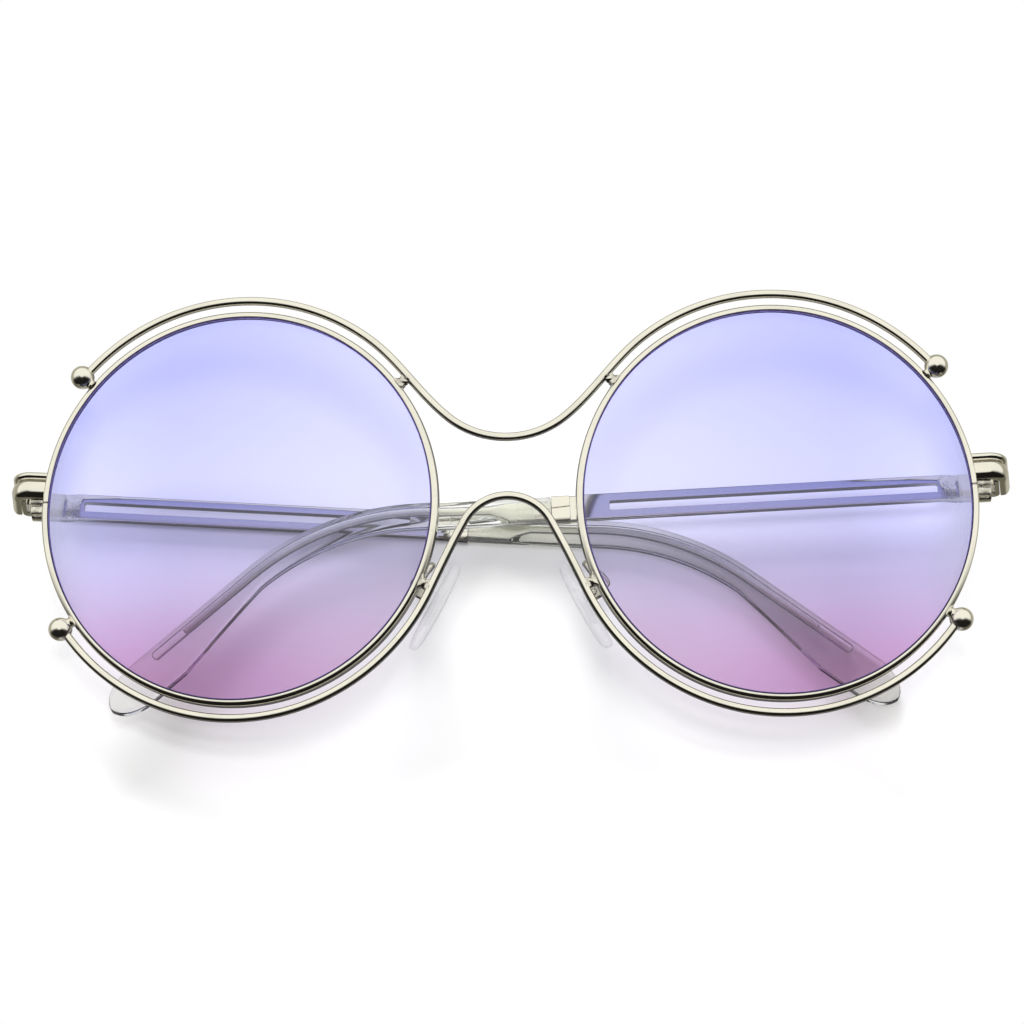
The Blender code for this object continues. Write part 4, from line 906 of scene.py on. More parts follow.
@made_once("Clear tip plastic")
def clear_tip(name):
    """Water-clear plastic of the temple tips, with faint haze and a little waviness."""
    colour = tuple(settings().tip_colour)
    finish, tree, shader = start_finish(name, colour, roughness=0.02)
    haze = place_group(tree, "Handling haze", fineness=300.0, amount=0.3)
    tree.links.new(add_mix(tree, haze["Mask"], colour, shaded(colour, 0.9)),
                   shader.inputs["Base Color"])
    tree.links.new(add_math(tree, "MULTIPLY_ADD", haze["Mask"], 0.08, 0.02),
                   shader.inputs["Roughness"])
    shader.inputs["Transmission Weight"].default_value = 1.0
    shader.inputs["IOR"].default_value = 1.49
    add_bump(tree, shader, haze["Height"], strength=0.04, distance=0.03 * MM)
    let_shadows_through(tree, shader, TIP_SHADOW)
    return finish


@made_once("Clear silicone")
def pad_silicone(name):
    """Water-clear silicone of the nose pads: seen mostly at its rim, with a faint haze."""
    colour, hazy = (0.84, 0.85, 0.86), (0.7, 0.71, 0.71)
    finish, tree, shader = start_finish(name, colour, roughness=0.16)
    haze = place_group(tree, "Handling haze", fineness=260.0, amount=0.7)
    tree.links.new(add_mix(tree, haze["Mask"], colour, hazy), shader.inputs["Base Color"])
    tree.links.new(add_math(tree, "MULTIPLY_ADD", haze["Mask"], 0.1, 0.14),
                   shader.inputs["Roughness"])
    edge = tree.nodes.new("ShaderNodeLayerWeight")
    edge.inputs["Blend"].default_value = 0.5
    rim = add_math(tree, "POWER", edge.outputs["Facing"], 2.5)
    veil = add_math(tree, "MULTIPLY_ADD", haze["Mask"], 0.05, 0.07)
    tree.links.new(add_math(tree, "MULTIPLY_ADD", rim, 0.24, veil), shader.inputs["Alpha"])
    add_bump(tree, shader, haze["Height"], strength=0.04, distance=0.03 * MM)
    return finish


@made_once("Clear pad core")
def pad_core(name):
    """Clear moulded core inside a nose pad, a faint shape."""
    finish, tree, shader = start_finish(name, (0.8, 0.82, 0.83), roughness=0.2)
    haze = place_group(tree, "Handling haze", fineness=400.0, amount=0.6)
    tree.links.new(add_math(tree, "MULTIPLY_ADD", haze["Mask"], 0.05, 0.06),
                   shader.inputs["Alpha"])
    tree.links.new(add_math(tree, "MULTIPLY_ADD", haze["Mask"], 0.1, 0.2),
                   shader.inputs["Roughness"])
    return finish


def floor_finish():
    """Pale table: plain diffuse with a little light of its own where it is seen, fading out.

    It ends just inside the hinges, so that opened temples swing past its edge. Straight from
    the camera it also ends under the brow, where no shadow falls. What polished metal mirrors of
    it has painted shade: dark under the front and bright beside the glasses. Beside and ahead of
    the glasses it also glows more, painted light over where their shadow would fall.
    """
    chosen = settings()
    colour = tuple(chosen.floor_colour)
    finish, tree, shader = start_finish("Pale table", colour, roughness=0.9)
    shader.inputs["Specular IOR Level"].default_value = 0.0
    place = add_split(tree, object_place(tree))
    aside = add_math(tree, "ABSOLUTE", place["X"])
    deep = add_math(tree, "ABSOLUTE", add_math(tree, "SUBTRACT", place["Y"], FLOOR_MIDDLE_Y))
    path = tree.nodes.new("ShaderNodeLightPath").outputs
    solid = add_math(tree, "MULTIPLY", add_fall(tree, aside, *FLOOR_FADE_ASIDE),
                     add_fall(tree, deep, *FLOOR_FADE_DEEP))
    below_brow = add_fall(tree, place["Y"], *FLOOR_FADE_BROW)
    indirect = add_math(tree, "SUBTRACT", 1.0, path["Is Camera Ray"])
    solid = add_math(tree, "MULTIPLY", solid, add_math(tree, "MAXIMUM", below_brow, indirect))
    under_side = tree.nodes.new("ShaderNodeNewGeometry").outputs["Backfacing"]
    front = add_math(tree, "SUBTRACT", 1.0, under_side)
    tree.links.new(add_math(tree, "MULTIPLY", solid, front), shader.inputs["Alpha"])
    mirrored = add_math(tree, "GREATER_THAN", path["Glossy Depth"], 0.5)
    # Painted shade: metal mirrors the table darkened under the front, less so beside the glasses
    mirrored_painted_shade = add_mix(tree, add_range(tree, aside, *FLOOR_PAINTED_SHADE_EDGE),
                        shaded(colour, FLOOR_MIRRORED_PAINTED_SHADE_UNDER),
                        shaded(colour, FLOOR_MIRRORED_PAINTED_SHADE_BESIDE))
    tree.links.new(add_mix(tree, mirrored, colour, mirrored_painted_shade), shader.inputs["Base Color"])
    straight = add_math(tree, "SUBTRACT", 1.0, mirrored)
    seen = add_math(tree, "MAXIMUM", path["Is Camera Ray"],
                    add_math(tree, "MULTIPLY", path["Is Transmission Ray"], straight))
    shader.inputs["Emission Color"].default_value = (1.0, 1.0, 1.0, 1.0)
    # Painted light: more glow of its own beside and ahead of the glasses, over their shadow
    outside = add_math(tree, "MAXIMUM", add_range(tree, aside, *FLOOR_PAINTED_LIGHT_ASIDE),
                       add_fall(tree, place["Y"], *FLOOR_PAINTED_LIGHT_AHEAD))
    lift = add_math(tree, "MULTIPLY_ADD", outside, FLOOR_PAINTED_LIGHT_LEVEL, chosen.floor_lift)
    tree.links.new(add_math(tree, "MULTIPLY", seen, lift), shader.inputs["Emission Strength"])
    return finish


# Pieces


def rim_profile():
    """Section of the rim wire: half an ellipse in front and behind, the lens groove inside.

    Each half is (middle + half width cos a, depth sin a), with the front's sine to the power 0.9
    and its crest moved inwards by a share of the half width times sin^2 a.
    """
    inner, half, middle = RIM_OPENING_RADIUS, RIM_WIDTH / 2, -RIM_DEPTH / 2
    turn = np.radians(np.linspace(0, 180, 19))
    across = inner + half + half * np.cos(turn)
    front = np.stack([across - RIM_CREST_SHIFT * half * np.sin(turn) ** 2,
                      -RIM_FRONT_CROWN + RIM_FRONT_CROWN * np.sin(turn) ** 0.9], -1)
    behind = np.stack([across, RIM_BACK_CROWN - RIM_DEPTH - RIM_BACK_CROWN * np.sin(turn)], -1)
    groove = [(inner, middle - GROOVE_WIDTH / 2), (inner + GROOVE_DEPTH, middle),
              (inner, middle + GROOVE_WIDTH / 2)]
    return np.vstack([front[::-1], behind, groove])


def eyewire_mesh(side):
    """Rim: the section carried round the lens centre from one side of the split to the other."""
    high = HINGE_HEIGHTS[side] - SPLIT_DROP
    half_split = RIM_SPLIT / 2 / RIM_OUTER_RADIUS
    start = math.pi - math.asin(high / RIM_OUTER_RADIUS) + half_split
    angle = start + np.linspace(0, math.tau - 2 * half_split, settings().ring_steps + 1)
    r, z = rim_profile().T
    rings = np.stack([np.cos(angle)[:, None] * r, np.sin(angle)[:, None] * r,
                      np.broadcast_to(z, (len(angle), len(z)))], -1)
    return skin(put(rings, front_lens_matrix(side), side), sharp=35)


def lens_mesh(side):
    """Lens: two spherical faces, sag = R - sqrt(R^2 - r^2), joined by the bevel in the groove.

    The rows of the bevel and its chamfers take the second material, the ground edge.
    """
    columns, face_rows, bevel_rows = 160, 26, 5
    edge = RIM_OPENING_RADIUS - LENS_PLAY
    apex = RIM_OPENING_RADIUS + GROOVE_DEPTH - SEAT_GAP
    middle = -RIM_DEPTH / 2
    half_bevel = GROOVE_WIDTH / 2 - LENS_PLAY
    r = ((edge - LENS_CHAMFER_WIDTH)
         * np.sin(np.linspace(0.02, 1, face_rows) * math.pi / 2))
    rise = (np.sqrt(LENS_CURVE_RADIUS ** 2 - r ** 2)
            - math.sqrt(LENS_CURVE_RADIUS ** 2 - edge ** 2))
    front = np.stack([r, middle + rise + LENS_THICKNESS / 2], -1)
    back = np.stack([r, middle + rise - LENS_THICKNESS / 2], -1)
    chamfer = LENS_THICKNESS / 2 - LENS_CHAMFER_DEPTH
    bevel = np.array([(edge, middle + chamfer), (edge, middle + half_bevel), (apex, middle),
                      (edge, middle - half_bevel), (edge, middle - chamfer)])
    rings = turned(np.vstack([front, bevel, back[::-1]]), columns)
    data = skin(put(rings, front_lens_matrix(side), side), sharp=25)
    rows = np.arange(len(data.polygons)) // columns
    ground = (rows >= face_rows - 1) & (rows < face_rows + bevel_rows)
    data.polygons.foreach_set("material_index", ground.astype(np.int32))
    return data


def spoke(rings, angle, side):
    """Rings drawn along the left lens's X axis, turned to an angle round its centre and placed."""
    rings = put(rings, Matrix.Rotation(math.pi - angle, 4, "Z"))
    return put(rings, front_lens_matrix(side), side)


def ball_mesh(side, angle):
    """Ball end: a sphere and its neck turned round the radial axis, joined by a smooth maximum.

    The smooth maximum is (sphere^8 + neck^8)^(1/8).
    """
    foot, top = -BALL_FOOT_DEPTH, BALL_CENTRE_RISE + BALL_RADIUS
    rows, columns = 72, 56
    along = foot + (top - foot) * np.sin(np.linspace(0, 1, rows) * math.pi / 2)
    sphere = np.sqrt(np.maximum(BALL_RADIUS ** 2 - (along - BALL_CENTRE_RISE) ** 2, 0))
    flare = np.clip(1 - (along - foot) / BALL_NECK_FLARE_REACH, 0, 1)
    neck = BALL_NECK_RADIUS * (1 + BALL_NECK_FLARE * flare ** 2)
    neck = np.where(along > BALL_CENTRE_RISE, 0, neck)
    radius = np.maximum((sphere ** 8 + neck ** 8) ** (1 / 8), 0.01 * MM)[:, None]
    turn = np.linspace(0, math.tau, columns, endpoint=False)
    level = -BALL_NECK_RADIUS + (BALL_NECK_RADIUS - OUTER_WIRE_RADIUS) * np.clip(along / top, 0, 1)
    rings = np.stack([np.broadcast_to(RIM_OUTER_RADIUS + along[:, None], (rows, columns)),
                      radius * np.cos(turn), level[:, None] + radius * np.sin(turn)], -1)
    return skin(spoke(rings, angle, side), sharp=60)


def wire_distance(path, angle):
    """Distance from the lens centre to where the ray at an angle first crosses a wire."""
    flat = put(path, lens_matrix(RIGHT).inverted())[:, :2]
    ray = np.array([math.cos(angle), math.sin(angle)])
    cross = flat[:, 0] * ray[1] - flat[:, 1] * ray[0]
    found = np.nonzero(cross[:-1] * cross[1:] <= 0)[0]
    share = (cross[found] / (cross[found] - cross[found + 1]))[:, None]
    reach = (flat[found] * (1 - share) + flat[found + 1] * share) @ ray
    return float(reach[reach > 0].min())


def stud_mesh(side, angle, path):
    """Solder stud: a rounded bar from the rim into the wire, flared where it wets both.

    Its section is scaled by 1 + a sin(3 turn + 9 along) + b sin(5 turn - 14 along).
    """
    rows, columns = 22, 28
    near = RIM_OUTER_RADIUS - STUD_INTO_RIM
    far = wire_distance(path, angle) - STUD_INTO_WIRE
    share = np.linspace(0, 1, rows)[:, None]
    flare = np.abs(2 * share - 1) ** 2.5
    half_wide = STUD_HALF_WIDTH + STUD_WIDTH_FLARE * flare
    half_deep = STUD_HALF_DEPTH + STUD_DEPTH_FLARE * flare
    turn = np.linspace(0, math.tau, columns, endpoint=False)
    lumps = 1 + 0.12 * np.sin(3 * turn + 9 * share) + 0.07 * np.sin(5 * turn - 14 * share)
    rings = np.stack([np.broadcast_to(near + (far - near) * share, (rows, columns)),
                      half_wide * lumps * flattened(np.cos(turn), 0.8),
                      STUD_LEVEL + half_deep * lumps * flattened(np.sin(turn), 0.8)], -1)
    return skin(spoke(rings, angle, side), sharp=60)


def endpiece_section():
    """(outward, height) loop: two rounded ridges either side of a groove, and a flat inner face.

    Each ridge is (depth (cos a - 1), middle + half height sin a).
    """
    half, split = ENDPIECE_HEIGHT / 2, ENDPIECE_GROOVE_SHARE * ENDPIECE_HEIGHT
    turn = np.linspace(-1, 1, 25) * math.pi / 2 * 0.98
    lower = np.stack([LOWER_RIDGE_DEPTH * (np.cos(turn) - 1),
                      (split - half) / 2 + (split + half) / 2 * np.sin(turn)], -1)
    upper = np.stack([UPPER_RIDGE_DEPTH * (np.cos(turn) - 1) - UPPER_RIDGE_STEP,
                      (split + half) / 2 + (half - split) / 2 * np.sin(turn)], -1)
    edge = ENDPIECE_EDGE_RADIUS
    inner = [arc_points((edge - ENDPIECE_THICKNESS, half - edge), edge, 90, 180, 4),
             arc_points((edge - ENDPIECE_THICKNESS, edge - half), edge, 180, 270, 4)]
    return np.vstack([lower, upper, *inner])


def endpiece_mesh(side):
    """Endpiece: its section carried from the rim round a corner to the hinge.

    The first ring is slid along the band until each point reaches the rim's cylinder.
    """
    corner_rows, leg_rows, face_rows = 22, 7, 9
    outer, radius = -AXIS_INSET, ENDPIECE_CORNER_RADIUS
    rise = math.tan(LEG_SPLAY)
    corner_z = ENDPIECE_LENGTH + outer * rise - radius * math.cos(LEG_SPLAY)
    turn = np.linspace(LEG_SPLAY, math.pi / 2, corner_rows)
    path = np.stack([outer + radius - radius * np.sin(turn), corner_z + radius * np.cos(turn)], -1)
    heading = np.stack([-np.sin(turn), np.cos(turn)], -1)
    leg = np.linspace(corner_z, SOLDER_GAP, leg_rows + 1)[1:]
    path = np.vstack([path, np.stack([np.full(leg_rows, outer), leg], -1)])
    heading = np.vstack([heading, np.tile((-1.0, 0.0), (leg_rows, 1))])
    section = endpiece_section()
    flat = path[:, None] + section[None, :, :1] * heading[:, None]
    rings = np.stack([flat[..., 0], np.broadcast_to(section[None, :, 1], flat.shape[:2]),
                      flat[..., 1]], -1)
    matrix = endpiece_matrix(side)
    world = put(rings, matrix, side)
    to_lens = front_lens_matrix(side).inverted()
    start = put(world[0], to_lens)[:, :2]
    way = put(rings[0] + (math.cos(LEG_SPLAY), 0, math.sin(LEG_SPLAY)), matrix, side)
    step = put(way, to_lens)[:, :2] - start
    reach = RIM_OUTER_RADIUS - ENDPIECE_INTO_RIM
    a, b = (step ** 2).sum(-1), (start * step).sum(-1)
    c = (start ** 2).sum(-1) - reach ** 2
    slide = (-b - np.sqrt(np.maximum(b * b - a * c, 0))) / a
    landing = world[0] + slide[:, None] * (way - world[0])
    shares = np.linspace(0, 1, face_rows)[:-1, None, None]
    straight = landing[None] * (1 - shares) + world[0][None] * shares
    return skin(np.concatenate([straight, world]), sharp=50)


def bore_stations(bend_end):
    """Stations of the tip's bore from its blind end back to the mouth: a round hole, then flat.

    Each row is (along, aside, section), and the bore rises off the centre line in the bend.
    """
    wire_half = CORE_WIRE_HEIGHT / 2 + SEAT_GAP
    wire = rounded_section(wire_half, wire_half, wire_half, wire_half * 0.98)
    tight = rounded_section(wire_half * 0.6, wire_half * 0.6, wire_half * 0.6, wire_half * 0.58)
    blade_high, blade_deep = BLADE_HEIGHT / 2 + SEAT_GAP, CORE_THICKNESS / 2 + SEAT_GAP
    blade = rounded_section(blade_high, blade_high, blade_deep, 0.2 * MM)
    blade_end = TIP_START + BLADE_LENGTH
    wire_start = blade_end + BLADE_TAPER_LENGTH
    bore_end = bend_end + CORE_BORE_REACH
    stations = [(bore_end + 0.4 * MM, CORE_RISE, tight)]
    stations += [(along, CORE_RISE, wire) for along in np.linspace(bore_end, BEND_START, 56)]
    stations += [(wire_start + (BEND_START - wire_start) * share,
                  CORE_RISE * (0.5 + 0.5 * share), wire) for share in np.linspace(1, 0, 8)[1:-1]]
    stations += [(blade_end + BLADE_TAPER_LENGTH * share, CORE_RISE / 2 * share,
                  blade * (1 - share) + wire * share) for share in np.linspace(1, 0, 7)]
    return stations + [(TIP_START + 0.1 * MM, 0.0, blade)]


def outer_stations(bend_end):
    """Stations of the tip's outside: rounded lip, straight, bend, flare, and the paddle's end.

    The lip is a quarter circle, and the end's half width is the paddle's times cos a.
    """
    deep, outer, at_end = TIP_THICKNESS / 2, TIP_OUTER_HALF, TIP_INNER_HALF_AT_END
    stations = []
    for turn in np.radians(np.linspace(0, 90, 5)):
        lip = TIP_LIP * (1 - math.sin(turn))
        stations.append((TIP_START + TIP_LIP * (1 - math.cos(turn)), 0.0,
                         rounded_section(outer - lip, outer - lip, deep - lip,
                                         TIP_ROUNDING - lip / 2)))
    straight = rounded_section(outer, outer, deep, TIP_ROUNDING)
    stations += [(along, 0.0, straight)
                 for along in np.linspace(TIP_START + 2 * MM, BEND_START, 9)[:-1]]
    for share in np.linspace(0, 1, 29):
        inner = outer + (TIP_INNER_HALF_AT_BEND - outer) * share
        stations.append((BEND_START + (bend_end - BEND_START) * share, 0.0,
                         rounded_section(outer, inner, deep, TIP_ROUNDING)))
    for share in np.linspace(0, 1, 17)[1:]:
        inner = TIP_INNER_HALF_AT_BEND + (at_end - TIP_INNER_HALF_AT_BEND) * share ** 1.1
        stations.append((bend_end + HOOK_FLARE_LENGTH * share, 0.0,
                         rounded_section(outer, inner, deep, TIP_ROUNDING)))
    offset, spread = (outer - at_end) / 2, (outer + at_end) / 2
    for turn in np.linspace(0, math.pi / 2 * 0.985, 20):
        width = spread * math.cos(turn)
        thick = deep * (1 - 0.35 * math.sin(turn) ** 3)
        corner = min(TIP_ROUNDING, 0.9 * width, 0.9 * thick)
        stations.append((bend_end + HOOK_LENGTH - HOOK_ROUND_LENGTH * (1 - math.sin(turn)), 0.0,
                         rounded_section(offset + width, width - offset, thick, corner)))
    return stations


def tip_mesh(side):
    """Clear tip: one closed skin from the bore's end out of its mouth and round the paddle."""
    bend = BEND_ANGLES[side]
    bend_end = BEND_START + BEND_RADIUS * bend
    stations = bore_stations(bend_end) + outer_stations(bend_end)
    return skin(put(temple_rings(stations, bend), temple_matrix(side), side), sharp=50)


def pad_mesh(side):
    """Nose pad: superellipse sections whose width and thickness follow powers of a cosine."""
    rows, columns = 46, 56
    turn = (np.linspace(-1, 1, rows) * math.pi / 2 * 0.992)[:, None]
    level = np.sin(turn)
    width = PAD_WIDTH / 2 * np.cos(turn) ** 0.5 * (1 - PAD_TAPER * (1 + level) / 2)
    deep = PAD_THICKNESS / 2 * np.cos(turn) ** 0.3
    around = np.linspace(0, math.tau, columns, endpoint=False)[None]
    bow = PAD_BOW * PAD_THICKNESS * level ** 2
    rings = np.stack([PAD_STANDOFF + deep * flattened(np.sin(around), 0.8) - bow,
                      np.broadcast_to(PAD_LENGTH / 2 * level - PAD_DROP, (rows, columns)),
                      width * flattened(np.cos(around), 0.8)], -1)
    return skin(put(rings, pad_matrix(side), side), sharp=70)


def smooth_path(knots, steps):
    """Even curve through every knot: cubic Hermite pieces whose pulls are half the knots' span."""
    padded = np.vstack([2 * knots[0] - knots[1], knots, 2 * knots[-1] - knots[-2]])
    t = np.linspace(0, 1, steps, endpoint=False)[None, :, None]
    before, first, second, after = (padded[i:len(padded) - 3 + i][:, None] for i in range(4))
    curve = ((2 * t ** 3 - 3 * t ** 2 + 1) * first
             + (t ** 3 - 2 * t ** 2 + t) * (second - before) / 2
             + (3 * t ** 2 - 2 * t ** 3) * second + (t ** 3 - t ** 2) * (after - first) / 2)
    return np.vstack([curve.reshape(-1, 3), knots[-1]])


def arm_mesh(side):
    """Pad arm: a round wire along its loop, thickened into a solder foot at the rim and the box.

    Each foot adds a share of the radius that falls off as exp(-distance / reach).
    """
    middle = RIM_OPENING_RADIUS + RIM_WIDTH / 2
    start = put((-middle * math.cos(LOWER_STUD_ANGLE), middle * math.sin(LOWER_STUD_ANGLE),
                 -RIM_DEPTH - SOLDER_GAP), lens_matrix(LEFT))
    to_front = front_matrix().inverted() @ pad_matrix(LEFT)
    back = -BOX_BACK - SOLDER_GAP + ARM_INTO_BOX
    end = put((back, 0, 0), to_front)
    before_end = put((back - ARM_LANDING, 0, 0), to_front)
    path = smooth_path(np.vstack([start, start - (0, 0, ARM_LANDING), start + ARM_LOOP,
                                  before_end, end]), 9)
    path[0] += (0, 0, ARM_INTO_RIM)
    run = np.concatenate([[0], np.cumsum(np.linalg.norm(np.diff(path, axis=0), axis=1))])
    foot = np.exp(-run / (0.45 * MM)) * 0.55 + np.exp((run - run[-1]) / (0.4 * MM)) * 0.35
    rings = tube(path, ARM_RADIUS * (1 + foot), reference=(1.0, 0.0, 0.0), sides=18)
    if side == RIGHT:
        rings = rings * (-1, 1, 1)
    return skin(put(rings, front_matrix()), sharp=60)


# The studio

CAMERA_FORWARD = Vector((-0.01344, 0.36057, -0.93263))
CAMERA_UP = Vector((0.00486, 0.93273, 0.36054))
CAMERA_PLACE = Vector((0.00806, -0.21734, 0.57459))
CAMERA_LENS = 147.95
CAMERA_SHIFT = (0.0040, -0.0085)

# Rows of (name, place, size, share of the lamp power), and the point that the lamps face
LAMPS = (("Large soft lamp", (-0.06, 0.6, 0.28), 0.34, 0.92),
         ("Overhead lamp", (0.02, 0.05, 0.7), 0.24, 0.28))
LAMP_AIM = Vector((0, -0.005, 0.005))

# Colours of the room as polished metal mirrors it
WHITE = (1.0, 1.0, 1.0)
CREAM = (1.0, 0.985, 0.9)
DARK = (0.01, 0.009, 0.007)
OLIVE = (0.42, 0.4, 0.32)
TABLE_UNDER = (0.15, 0.142, 0.105)
TABLE_BESIDE = (0.5, 0.48, 0.4)
SOFTENED = (0.96, 0.97, 0.98)

# Shares of the softened colour behind a lens and of the room in clear material, and the Y of a
# direction over which the near wall gives way to the far one
SOFTENED_SHARE = 0.82
ROOM_IN_GLASS = 0.12
WALLS_MEET = (-0.33, 0.05)


def make_camera():
    """Camera at the photograph's angle."""
    data = bpy.data.cameras.new("Camera")
    data.lens = CAMERA_LENS
    data.sensor_width = 36.0
    data.shift_x, data.shift_y = CAMERA_SHIFT
    data.clip_start, data.clip_end = 0.01, 20.0
    item = link_object("Camera", data)
    right = CAMERA_FORWARD.cross(CAMERA_UP).normalized()
    up = right.cross(CAMERA_FORWARD).normalized()
    turn = Matrix((right, up, -CAMERA_FORWARD.normalized())).transposed()
    item.matrix_world = Matrix.Translation(CAMERA_PLACE) @ turn.to_4x4()
    bpy.context.scene.camera = item


def add_area_light(name, place, size, energy):
    """Soft square light aimed at the glasses, itself unseen."""
    data = bpy.data.lights.new(name, "AREA")
    data.shape = "SQUARE"
    data.size = size
    data.energy = energy
    item = link_object(name, data)
    item.location = place
    item.rotation_mode = "QUATERNION"
    item.rotation_quaternion = (LAMP_AIM - Vector(place)).to_track_quat("-Z", "Y")
    item.visible_glossy = item.visible_transmission = item.visible_camera = False


def add_height_ramp(tree, height, stops):
    """A colour ramp over the height of a direction, from -1 straight down to 1 straight up."""
    return add_ramp(tree, add_math(tree, "MULTIPLY_ADD", height, 0.5, 0.5),
                    [((level + 1) / 2, colour) for level, colour in stops])


def make_world():
    """Room: plain white for the camera, an even level for diffuse light, two walls for metal.

    Metal mirrors a near wall that is dark up to its ceiling, and a far one that is olive at the
    horizon under a cream dome. What metal mirrors behind a lens is softened towards white.
    """
    world = bpy.data.worlds.new("Studio room")
    bpy.context.scene.world = world
    world.use_nodes = True
    tree = world.node_tree
    direction = add_split(tree, tree.nodes.new("ShaderNodeTexCoord").outputs["Generated"])
    near = add_height_ramp(tree, direction["Z"], [(-1.0, TABLE_UNDER), (-0.45, TABLE_UNDER),
                                                  (-0.3, DARK), (0.92, DARK), (0.97, CREAM),
                                                  (1.0, CREAM)])
    far = add_height_ramp(tree, direction["Z"], [(-1.0, TABLE_BESIDE), (-0.5, TABLE_BESIDE),
                                                 (-0.4, OLIVE), (0.0, OLIVE), (0.14, CREAM),
                                                 (1.0, CREAM)])
    room = add_mix(tree, add_range(tree, direction["Y"], *WALLS_MEET), near, far)
    path = tree.nodes.new("ShaderNodeLightPath").outputs
    level = settings().room_level
    through = add_mix(tree, ROOM_IN_GLASS, WHITE, room)
    mirrored = add_math(tree, "GREATER_THAN", path["Glossy Depth"], 0.5)
    behind = add_math(tree, "GREATER_THAN", path["Transmission Depth"], 0.5)
    room = add_mix(tree, add_math(tree, "MULTIPLY", behind, SOFTENED_SHARE), room, SOFTENED)
    lit = add_mix(tree, path["Is Transmission Ray"], (level, level, level), through)
    lit = add_mix(tree, mirrored, lit, room)
    lit = add_mix(tree, path["Is Camera Ray"], lit, WHITE)
    tree.links.new(lit, tree.nodes["Background"].inputs["Color"])


def make_floor():
    """Table patch: a flat elliptical fan of rings just under the glasses."""
    rows, columns = 12, 96
    share = np.linspace(0, 1, rows + 1)[1:, None]
    angle = np.linspace(0, math.tau, columns, endpoint=False)[None]
    rings = np.stack([FLOOR_HALF_WIDTH * share * np.cos(angle),
                      FLOOR_MIDDLE_Y + FLOOR_HALF_DEPTH * share * np.sin(angle),
                      np.full((rows, columns), -FLOOR_DROP)], -1)
    points = np.vstack([rings.reshape(-1, 3), [(0, FLOOR_MIDDLE_Y, -FLOOR_DROP)]])
    j = np.arange(columns)
    fan = np.stack([np.full(columns, len(points) - 1), j, (j + 1) % columns], -1)
    quads = grid_faces(rows, columns)[:, ::-1]
    data = bpy.data.meshes.new("table_top")
    data.from_pydata(points.tolist(), [], quads.tolist() + fan.tolist())
    data.update()
    item = link_object("table_top", data)
    item.data.materials.append(floor_finish())


# Settings, operators and panel


def colour_setting(name, description, default):
    """A colour property."""
    return FloatVectorProperty(name=name, description=description, subtype="COLOR", size=3,
                               min=0, max=1, default=default)


class SunglassesSettings(PropertyGroup):
    """Sizes, colours and levels that a user may change."""

    metal_colour: colour_setting("Metal colour", "Colour of the nickel silver", (0.9, 0.88, 0.81))
    polish: FloatProperty(name="Polish", description="Roughness of the polished metal", min=0.0,
                          max=1.0, default=0.09, subtype="FACTOR")
    lens_top: colour_setting("Lens top", "Lens tint at the brow", (0.4, 0.42, 0.87))
    lens_high: colour_setting("Lens upper part", "Lens tint above the middle", (0.48, 0.5, 0.92))
    lens_middle: colour_setting("Lens middle", "Lens tint at the middle", (0.58, 0.595, 0.91))
    lens_low: colour_setting("Lens lower part", "Lens tint below the middle", (0.56, 0.525, 0.75))
    lens_bottom: colour_setting("Lens bottom", "Lens tint at the cheek", (0.66, 0.385, 0.66))
    tip_colour: colour_setting("Tip colour", "Colour of the clear tips", (0.95, 0.955, 0.925))
    ring_steps: IntProperty(name="Rim steps", description="Steps round each rim", min=60, max=600,
                            default=260)
    edge_rounding: FloatProperty(name="Edge rounding", description="Rounding of small metal edges",
                                 min=0.0, default=0.09 * MM, unit="LENGTH", subtype="DISTANCE")
    floor_colour: colour_setting("Table colour", "Colour of the pale table", (0.8, 0.8, 0.8))
    floor_lift: FloatProperty(name="Table lift", description="Light of its own of the table",
                              min=0.0, max=1.0, default=0.12, subtype="FACTOR")
    room_level: FloatProperty(name="Room level", description="Even light from the room", min=0.0,
                              max=2.0, default=0.3)
    lamp_power: FloatProperty(name="Lamp power", description="Power that the lamps share out",
                              min=0.0, max=20.0, default=8.2, unit="POWER")


def settings():
    """The scene's settings."""
    return bpy.context.scene.sunglasses


def need(condition, message):
    """Stop with a message where an operator can't finish."""
    if not condition:
        raise RuntimeError(message)


class SUNGLASSES_OT_rims(Operator):
    """Make both rims"""

    bl_idname = "sunglasses.rims"
    bl_label = "Rims"

    def execute(self, context):
        for side, name in SIDE_NAMES.items():
            add_piece(f"{name}_eyewire", eyewire_mesh(side), polished_silver(), "front")
        return {"FINISHED"}


class SUNGLASSES_OT_lenses(Operator):
    """Make both tinted lenses"""

    bl_idname = "sunglasses.lenses"
    bl_label = "Lenses"

    def execute(self, context):
        for side, name in SIDE_NAMES.items():
            lens = add_piece(f"{name}_lens", lens_mesh(side), gradient_lens(), "front")
            lens.data.materials.append(ground_edge())
        return {"FINISHED"}


class SUNGLASSES_OT_outer_wires(Operator):
    """Make the brow wire and the lower wire with their balls and solder studs"""

    bl_idname = "sunglasses.outer_wires"
    bl_label = "Outer wires"

    def execute(self, context):
        forward = front_matrix().col[2][:3]
        for wire, path, ball_angle, stud_angle in (
                ("brow", brow_path(), BROW_BALL_ANGLE, BROW_STUD_ANGLE),
                ("lower", lower_path(), LOWER_BALL_ANGLE, LOWER_STUD_ANGLE)):
            need(len(path) > 3, "an outer wire has no path")
            rings = tube(put(path, front_matrix()), WIRE_FACE_RADIUS, forward, sides=32,
                         fullness=WIRE_FULLNESS)
            add_piece(f"{wire}_wire", skin(rings, sharp=60), polished_silver(), "front")
            for side, name in SIDE_NAMES.items():
                add_piece(f"{name}_{wire}_ball", ball_mesh(side, ball_angle), soft_silver(),
                          "front")
                add_piece(f"{name}_{wire}_stud", stud_mesh(side, stud_angle, path),
                          satin_silver(), "front")
        return {"FINISHED"}


